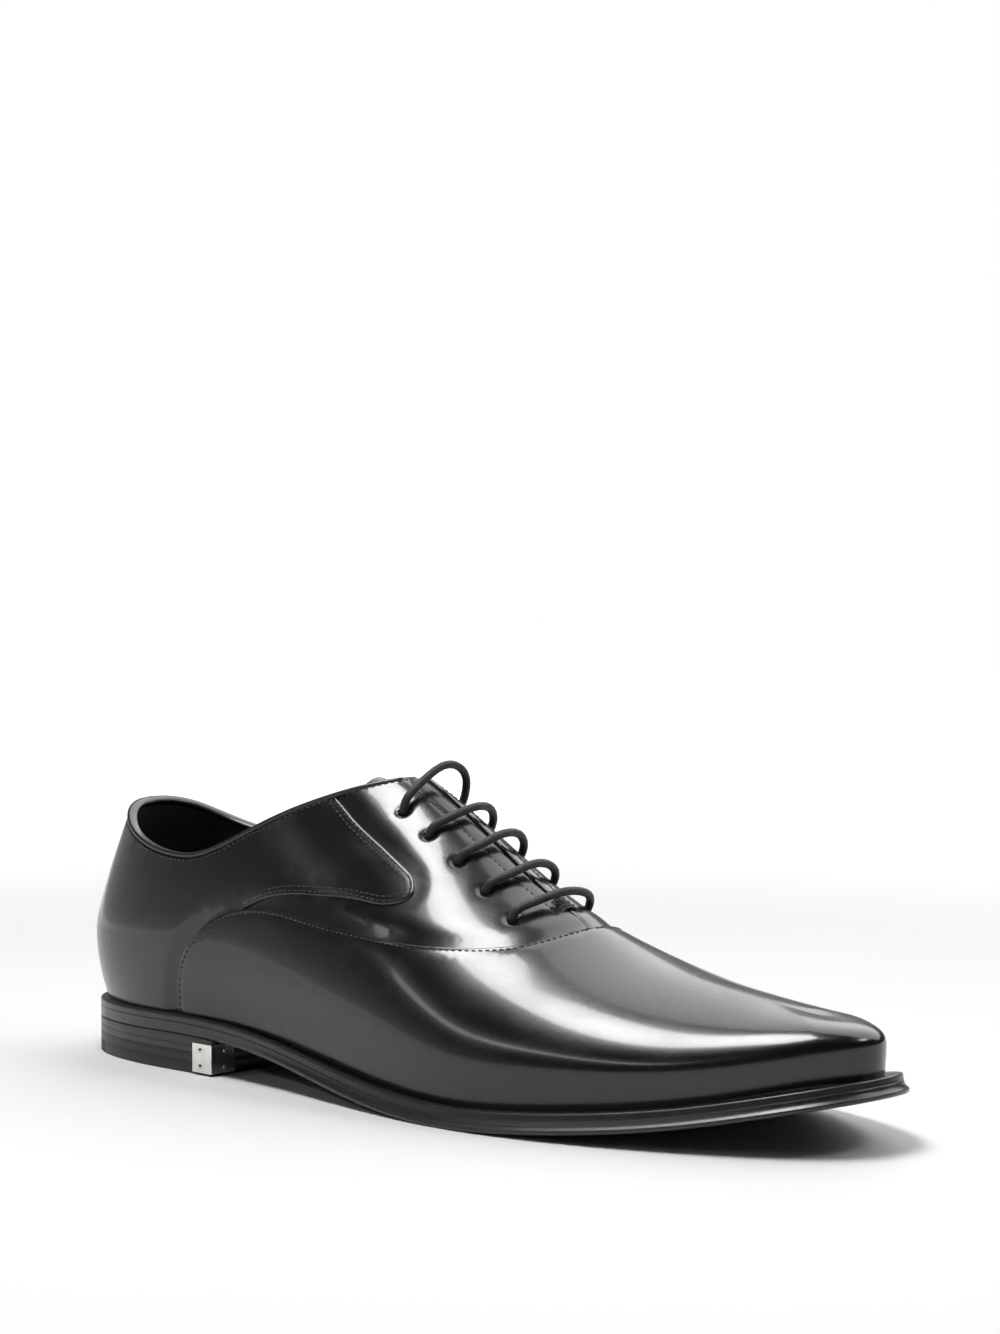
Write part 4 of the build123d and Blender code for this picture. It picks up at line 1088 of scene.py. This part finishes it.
def heel_layer(name, node, slot_name, stations, low, high):
    """One layer of the heel on the welt's outline, between two stations and two level functions."""
    u = np.linspace(0, 0.5, 700)
    inside = {}
    for side in (-1, 1):
        x, y = plan_point(u, side, WELT_ENDS, welt_width, 0.0)
        good = (x >= stations[0]) & (x <= stations[1])
        inside[side] = np.stack([x[good], y[good]], 1)[::4]
        inside[side] = np.vstack([inside[side], [[stations[1], np.interp(stations[1], x, y)]]])
        if stations[0] > 1:
            inside[side] = np.vstack([[[stations[0], np.interp(stations[0], x, y)]], inside[side]])
    breast = np.linspace(inside[-1][-1], inside[1][-1], ACROSS_STEPS)[1:-1]
    ring = [inside[-1], breast, inside[1][::-1]]
    if stations[0] > 1:
        ring.append(np.linspace(inside[1][0], inside[-1][0], ACROSS_STEPS)[1:-1])
    elif np.allclose(inside[-1][0], inside[1][0]):
        ring[2] = ring[2][:-1]
    ring = np.vstack(ring)
    ahead = np.roll(ring, -1, axis=0) - np.roll(ring, 1, axis=0)
    inwards = np.stack([-ahead[:, 1], ahead[:, 0]], 1) / np.linalg.norm(ahead, axis=1)[:, None]
    centre = ring.mean(0)
    if ((centre - ring) * inwards).sum() < 0:
        inwards = -inwards
    cap_ring = centre + CAP_SCALE * (ring - centre)
    edges = [(ring + inset * BEVEL * inwards, rise * BEVEL) for inset, rise in ((1, 0), (0.3, 0.3), (0, 1))]
    steps = [(cap_ring, 0), *edges]
    rings = [np.column_stack([place, low(place[:, 0]) + rise]) for place, rise in steps]
    rings += [np.column_stack([place, high(place[:, 0]) - rise]) for place, rise in reversed(steps)]
    count = len(ring)
    faces = [tuple(reversed(f)) for f in skinned(rings, False)]
    for first, turned in ((0, True), ((len(rings) - 1) * count, False)):
        cap = np.vstack(rings)[first : first + count, :2]
        border = [(i, (i + 1) % count) for i in range(count)]
        result = delaunay_2d_cdt([Vector(p) for p in cap], border, [], 1, 1e-5)
        if len(result[0]) == count:
            for f in result[2]:
                faces.append(tuple(first + result[3][i][0] for i in (reversed(f) if turned else f)))
    piece = new_mesh(name, np.vstack(rings), faces)
    mesh = bmesh.new()
    mesh.from_mesh(piece.data)
    bmesh.ops.recalc_face_normals(mesh, faces=mesh.faces)
    mesh.to_mesh(piece.data)
    mesh.free()
    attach(piece, "shoe")
    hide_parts(node)
    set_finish(piece, slot_name)


def level(height):
    return lambda x: np.full_like(x, height)


def seat(x):
    """Height of the outsole's underside, where the top lift ends."""
    return welt_top(x) - WELT - OUTSOLE + 0.02


LIFT_LOW, LIFT_HIGH = 6.6, 8.8  # where the lifts meet
whole, front, rear = (0.0, HEEL_BREAST), (TOP_PIECE_SPLIT, HEEL_BREAST), (0.0, TOP_PIECE_SPLIT)
heel_layer("heel_block_upper", "heel_lift_3", "heel_leather", whole, level(LIFT_HIGH), seat)
heel_layer("heel_block_middle", "heel_lift_2", "heel_leather", whole, level(LIFT_LOW), level(LIFT_HIGH))
heel_layer("heel_block_lower", "heel_lift_1", "heel_leather", whole, level(TOP_PIECE), level(LIFT_LOW))
heel_layer("top_piece_front", "top_piece_leather", "heel_leather", front, level(0), level(TOP_PIECE))
heel_layer("top_piece_rear", "top_piece_rubber", "heel_rubber", rear, level(0), level(TOP_PIECE))

# ---------------------------------------------------------------- materials


class Nodes:
    """A short way to build a node material."""

    def __init__(self, name):
        self.material = bpy.data.materials.new(name)
        self.material.use_nodes = True
        self.tree = self.material.node_tree
        self.shader = self.tree.nodes["Principled BSDF"]
        self.place = self.tree.nodes.new("ShaderNodeTexCoord").outputs["Object"]

    def put(self, kind, inputs=(), **settings):
        node = self.tree.nodes.new(kind)
        for key, value in settings.items():
            setattr(node, key, value)
        for key, value in dict(inputs).items():
            if isinstance(value, bpy.types.NodeSocket):
                self.tree.links.new(value, node.inputs[key])
            else:
                node.inputs[key].default_value = value
        return node

    def noise(self, scale, detail=3, rough=0.55, stretch=None):
        place = self.place
        if stretch:
            place = self.put("ShaderNodeMapping", {"Vector": place, "Scale": stretch}).outputs["Vector"]
        inputs = {"Vector": place, "Scale": scale, "Detail": detail, "Roughness": rough}
        return self.put("ShaderNodeTexNoise", inputs).outputs["Fac"]

    def cells(self, scale, feature="DISTANCE_TO_EDGE"):
        inputs = {"Vector": self.place, "Scale": scale}
        return self.put("ShaderNodeTexVoronoi", inputs, feature=feature).outputs["Distance"]

    def math(self, operation, a, b=0.0):
        return self.put("ShaderNodeMath", {0: a, 1: b}, operation=operation).outputs[0]

    def span(self, value, from_low, from_high, to_low, to_high):
        inputs = {0: value, 1: from_low, 2: from_high, 3: to_low, 4: to_high}
        return self.put("ShaderNodeMapRange", inputs).outputs[0]

    def blend(self, factor, a, b):
        node = self.put("ShaderNodeMix", {0: factor}, data_type="RGBA")
        for socket, value in ((node.inputs[6], a), (node.inputs[7], b)):
            if isinstance(value, bpy.types.NodeSocket):
                self.tree.links.new(value, socket)
            else:
                socket.default_value = (*value, 1)
        return node.outputs[2]

    def bump(self, height, distance, strength=1.0, under=None):
        inputs = {"Height": height, "Distance": distance, "Strength": strength}
        if under is not None:
            inputs["Normal"] = under
        return self.put("ShaderNodeBump", inputs).outputs["Normal"]

    def finish(self, colour, rough, normal, **fixed):
        for key, value in (("Base Color", colour), ("Roughness", rough), ("Normal", normal)):
            self.tree.links.new(value, self.shader.inputs[key])
        for key, value in fixed.items():
            self.shader.inputs[key.replace("_", " ")].default_value = value
        return self.material


PORE_SCALE, PORE_DEPTH = 2600, 0.00001


def calf(name, colour, worn, gloss, coat, wear=True):
    """Polished calf: fine pores, faint flow of polish, and cut edges painted lighter, partly edge wear and
    partly a painted highlight along the edge.
    """
    n = Nodes(name)
    pores = n.cells(PORE_SCALE)
    flow = n.noise(26, 4)
    polish = n.noise(90, 3, stretch=(0.6, 1, 1.6))
    tint = n.blend(n.span(flow, 0.35, 0.7, 0, 1), colour, worn)
    # Painted highlight and wear: the colour is lightened within half a millimetre of a cut edge, partly edge
    # wear and partly a painted highlight line.
    if wear:
        gap = n.put("ShaderNodeAttribute", attribute_name="edge_gap").outputs["Fac"]
        cut = n.span(gap, 0.0, 0.5, 0.75, 0.0)
        tint = n.blend(cut, tint, [5 * c for c in worn])
    rough = n.span(polish, 0.3, 0.75, gloss - 0.03, gloss + 0.05)
    under = n.bump(n.noise(70, 2), 0.00003, 0.15)
    normal = n.bump(n.span(pores, 0, 0.25, 0, 1), PORE_DEPTH, 0.3, under)
    return n.finish(tint, rough, normal, Coat_Weight=coat, Coat_Roughness=0.09, Specular_IOR_Level=0.5)


def lining(name, colour, worn):
    """Matt lining leather with an open grain."""
    n = Nodes(name)
    tint = n.blend(n.noise(60, 4), colour, worn)
    normal = n.bump(n.cells(1300), 0.00008, 0.6)
    return n.finish(tint, n.span(n.noise(140), 0.3, 0.7, 0.55, 0.75), normal)


def fibre(name, colour, worn, scale, rough, bump=0.00006, coat=0.0):
    """Stacked or pressed fibres: fine layers across Z with specks."""
    n = Nodes(name)
    layers = n.noise(1, 4, stretch=scale)
    tint = n.blend(n.span(layers, 0.3, 0.7, 0, 1), colour, worn)
    under = n.bump(n.noise(1500, 3), 0.00003, 0.5)
    normal = n.bump(layers, bump, 0.6, under)
    gloss = n.span(n.noise(220), 0.3, 0.7, *rough)
    return n.finish(tint, gloss, normal, Coat_Weight=coat, Coat_Roughness=0.3)


def yarn(name, colour, worn, scale, rough):
    """Twisted or braided thread with a little wax."""
    n = Nodes(name)
    inputs = {"Vector": n.place, "Scale": scale, "Distortion": 1.5, "Detail": 2}
    strands = n.put("ShaderNodeTexWave", inputs).outputs["Fac"]
    tint = n.blend(n.span(n.noise(700), 0.35, 0.7, 0, 1), colour, worn)
    under = n.bump(n.noise(3500, 2), 0.00004, 0.6)
    normal = n.bump(strands, 0.00005, 0.5, under)
    gloss = n.span(n.noise(300), 0.3, 0.7, *rough)
    return n.finish(tint, gloss, normal, Sheen_Weight=0.15, Sheen_Roughness=0.4)


def metal(name, colour, worn, rough):
    """Brushed metal with faint wear."""
    n = Nodes(name)
    lines = n.noise(1, 3, stretch=(60, 900, 900))
    tint = n.blend(n.span(n.noise(300), 0.4, 0.7, 0, 1), colour, worn)
    normal = n.bump(lines, 0.00001, 0.4)
    return n.finish(tint, n.span(lines, 0.3, 0.7, *rough), normal, Metallic=1.0)


# Name, colour and worn colour of each slot's material, then what is particular to its kind.
LAYERS, EVEN = (50, 50, 900), (300, 300, 300)
CALF = {
    "upper_leather": ("polished_black_calf", (0.003, 0.003, 0.0032), (0.005, 0.005, 0.0053), 0.25, 0.35),
    "binding_leather": (
        "satin_black_calf", (0.006, 0.006, 0.0065), (0.012, 0.012, 0.0125), 0.34, 0.25, False
    ),
    "aglet_plastic": ("aglet_film", (0.008, 0.008, 0.008), (0.014, 0.014, 0.014), 0.16, 0.5, False),
}
FIBRE = {
    "stiffener_board": ("fibre_board", (0.36, 0.3, 0.22), (0.5, 0.43, 0.33), EVEN, (0.7, 0.85)),
    "insole_leather": ("insole_leather", (0.5, 0.36, 0.23), (0.6, 0.45, 0.3), (200, 200, 200), (0.6, 0.8)),
    "cork": ("cork", (0.32, 0.19, 0.1), (0.55, 0.38, 0.22), (420, 420, 420), (0.8, 0.9)),
    "welt_leather": (
        "inked_welt", (0.007, 0.007, 0.0075), (0.012, 0.012, 0.0125), (80, 80, 700), (0.3, 0.42), 0.00003, 0.3
    ),
    "sole_leather": (
        "inked_sole", (0.007, 0.007, 0.0075), (0.013, 0.013, 0.0135), (60, 60, 800), (0.3, 0.4), 0.00001, 0.3
    ),
    "heel_leather": (
        "inked_heel", (0.017, 0.017, 0.0175), (0.022, 0.022, 0.0225), LAYERS, (0.36, 0.46), 0.00001, 0.2
    ),
    "heel_rubber": (
        "heel_rubber", (0.007, 0.007, 0.0075), (0.011, 0.011, 0.0115), (500, 500, 500), (0.5, 0.65)
    ),
    "heel_dark": (
        "dark_heel", (0.004, 0.004, 0.0042), (0.006, 0.006, 0.0062), LAYERS, (0.42, 0.5), 0.00001, 0.1
    ),
}
YARN = {
    "lace_cotton": ("waxed_cotton", (0.006, 0.006, 0.0065), (0.016, 0.016, 0.017), 900, (0.5, 0.7)),
    "thread": ("waxed_thread", (0.008, 0.008, 0.0085), (0.022, 0.022, 0.023), 1500, (0.35, 0.5)),
}
METAL = {
    "eyelet_metal": ("eyelet_brass", (0.55, 0.42, 0.2), (0.4, 0.3, 0.15), (0.16, 0.3)),
    "shank_steel": ("spring_steel", (0.4, 0.4, 0.42), (0.3, 0.3, 0.32), (0.16, 0.3)),
    "nail_steel": ("nail_steel", (0.45, 0.45, 0.46), (0.35, 0.35, 0.36), (0.16, 0.3)),
    "corner_metal": ("polished_nickel", (0.86, 0.85, 0.83), (0.72, 0.71, 0.69), (0.08, 0.18)),
}
LINING = {"lining_leather": ("black_lining_leather", (0.012, 0.012, 0.013), (0.02, 0.02, 0.021))}
MATERIALS = {
    slot_name: make(*recipe)
    for make, recipes in ((calf, CALF), (lining, LINING), (fibre, FIBRE), (yarn, YARN), (metal, METAL))
    for slot_name, recipe in recipes.items()
}


def dress(piece, slot_name):
    """Give every slot of a piece the material of a record slot."""
    if not piece.data.materials:
        piece.data.materials.append(MATERIALS[slot_name])
    for holder in piece.material_slots:
        holder.material = MATERIALS[slot_name]


node_slots = {part["node"]: part["material_slot"] for part in frame["record"]["subparts"]}
for node, piece in frame["nodes"].items():
    dress(piece, node_slots[node])
for piece in bpy.context.scene.objects:
    if piece.type == "MESH" and "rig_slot" in piece.keys():
        dress(piece, piece["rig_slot"])
for name in ("heel_block_lower", "top_piece_front"):
    bpy.data.objects[name].material_slots[0].material = MATERIALS["heel_dark"]

# ---------------------------------------------------------------- camera, floor and light
TARGET = Vector((0.0065, 0.0021, 0.045))
AZIMUTH, ELEVATION, DISTANCE, TILT = math.radians(41), math.radians(8), 1.211, math.radians(3.95)
flat = math.cos(ELEVATION)
back = Vector((math.sin(AZIMUTH) * flat, -math.cos(AZIMUTH) * flat, math.sin(ELEVATION)))
camera = bpy.data.objects.new("camera", bpy.data.cameras.new("camera"))
bpy.context.scene.collection.objects.link(camera)
camera.location = TARGET + back * DISTANCE
camera.rotation_euler = (math.pi / 2 - ELEVATION + TILT, 0, AZIMUTH)
camera.data.sensor_width = 36
camera.data.lens = 108.7
camera.data.shift_x = 0.0037
bpy.context.scene.camera = camera


def area_light(name, place, aim, size, power):
    """A soft rectangular light at a place in metres, turned to its aim."""
    lamp = bpy.data.lights.new(name, "AREA")
    lamp.shape = "RECTANGLE"
    lamp.size, lamp.size_y = size
    lamp.energy = power
    holder = bpy.data.objects.new(name, lamp)
    bpy.context.scene.collection.objects.link(holder)
    holder.location = place
    holder.rotation_euler = (Vector(aim) - Vector(place)).to_track_quat("-Z", "Y").to_euler()


area_light("top_softbox", (-0.12, -0.22, 1.1), (0, 0, 0.05), (0.66, 0.36), 13.5)
area_light("side_strip", (-0.38, -1.05, 0.74), (0.05, 0, 0.04), (1.0, 0.1), 1.6)
area_light("toe_softbox", (0.8, 0.25, 0.85), (0.1, 0, 0.03), (0.3, 0.22), 2)
area_light("back_panel", (0, 1.95, 2.1), (0, 0.5, 0), (4, 3), 90)



def set_range(node, *ends):
    """Set a Map Range node's ends: from low, from high, to low, to high."""
    for index, value in enumerate(ends, 1):
        node.inputs[index].default_value = value


# The room: white where the camera sees it, dark to the sides, a grey wall behind the heel.
world = bpy.data.worlds.new("studio")
bpy.context.scene.world = world
world.use_nodes = True
sky = world.node_tree
background = sky.nodes["Background"]
ray = sky.nodes.new("ShaderNodeLightPath")
direction = sky.nodes.new("ShaderNodeTexCoord")
parts = sky.nodes.new("ShaderNodeSeparateXYZ")
sky.links.new(direction.outputs["Generated"], parts.inputs[0])
behind = sky.nodes.new("ShaderNodeMapRange")
sky.links.new(parts.outputs["X"], behind.inputs[0])
set_range(behind, -0.2, -0.95, 0.05, 0.5)
low = sky.nodes.new("ShaderNodeMapRange")
sky.links.new(parts.outputs["Z"], low.inputs[0])
set_range(low, 0.45, 0.05, 0.15, 1.0)
wall = sky.nodes.new("ShaderNodeMath")
wall.operation = "MULTIPLY"
sky.links.new(behind.outputs[0], wall.inputs[0])
sky.links.new(low.outputs[0], wall.inputs[1])
seen = sky.nodes.new("ShaderNodeMix")
sky.links.new(ray.outputs["Is Camera Ray"], seen.inputs[0])
sky.links.new(wall.outputs[0], seen.inputs[2])
seen.inputs[3].default_value = 1.0
sky.links.new(seen.outputs[0], background.inputs["Strength"])
background.inputs["Color"].default_value = (1, 1, 1, 1)
bpy.context.scene.view_settings.view_transform = "Standard"

FLOOR = 1.6  # half its side, in metres
floor_corners = [(-FLOOR, -FLOOR, 0), (FLOOR, -FLOOR, 0), (FLOOR, FLOOR, 0), (-FLOOR, FLOOR, 0)]
floor_mesh = bpy.data.meshes.new("floor")
floor_mesh.from_pydata(floor_corners, [], [(0, 1, 2, 3)])
floor = bpy.data.objects.new("floor", floor_mesh)
bpy.context.scene.collection.objects.link(floor)
floor_material = bpy.data.materials.new("floor")
floor_material.use_nodes = True
floor_shader = floor_material.node_tree.nodes["Principled BSDF"]
floor_shader.inputs["Base Color"].default_value = (0.62, 0.62, 0.62, 1)
floor_shader.inputs["Roughness"].default_value = 0.6
floor_shader.inputs["Specular IOR Level"].default_value = 0.2
floor_shader.inputs["Emission Color"].default_value = (1, 1, 1, 1)
# Far from the shoe the floor turns into the white of the room.
floor_nodes = floor_material.node_tree
place = floor_nodes.nodes.new("ShaderNodeTexCoord")
reach = floor_nodes.nodes.new("ShaderNodeVectorMath")
reach.operation = "LENGTH"
floor_nodes.links.new(place.outputs["Object"], reach.inputs[0])
fade = floor_nodes.nodes.new("ShaderNodeMapRange")
fade.interpolation_type = "SMOOTHSTEP"
floor_nodes.links.new(reach.outputs["Value"], fade.inputs[0])
set_range(fade, 0.35, 1.2, 0.0, 1.0)
floor_nodes.links.new(fade.outputs[0], floor_shader.inputs["Emission Strength"])
floor_mesh.materials.append(floor_material)
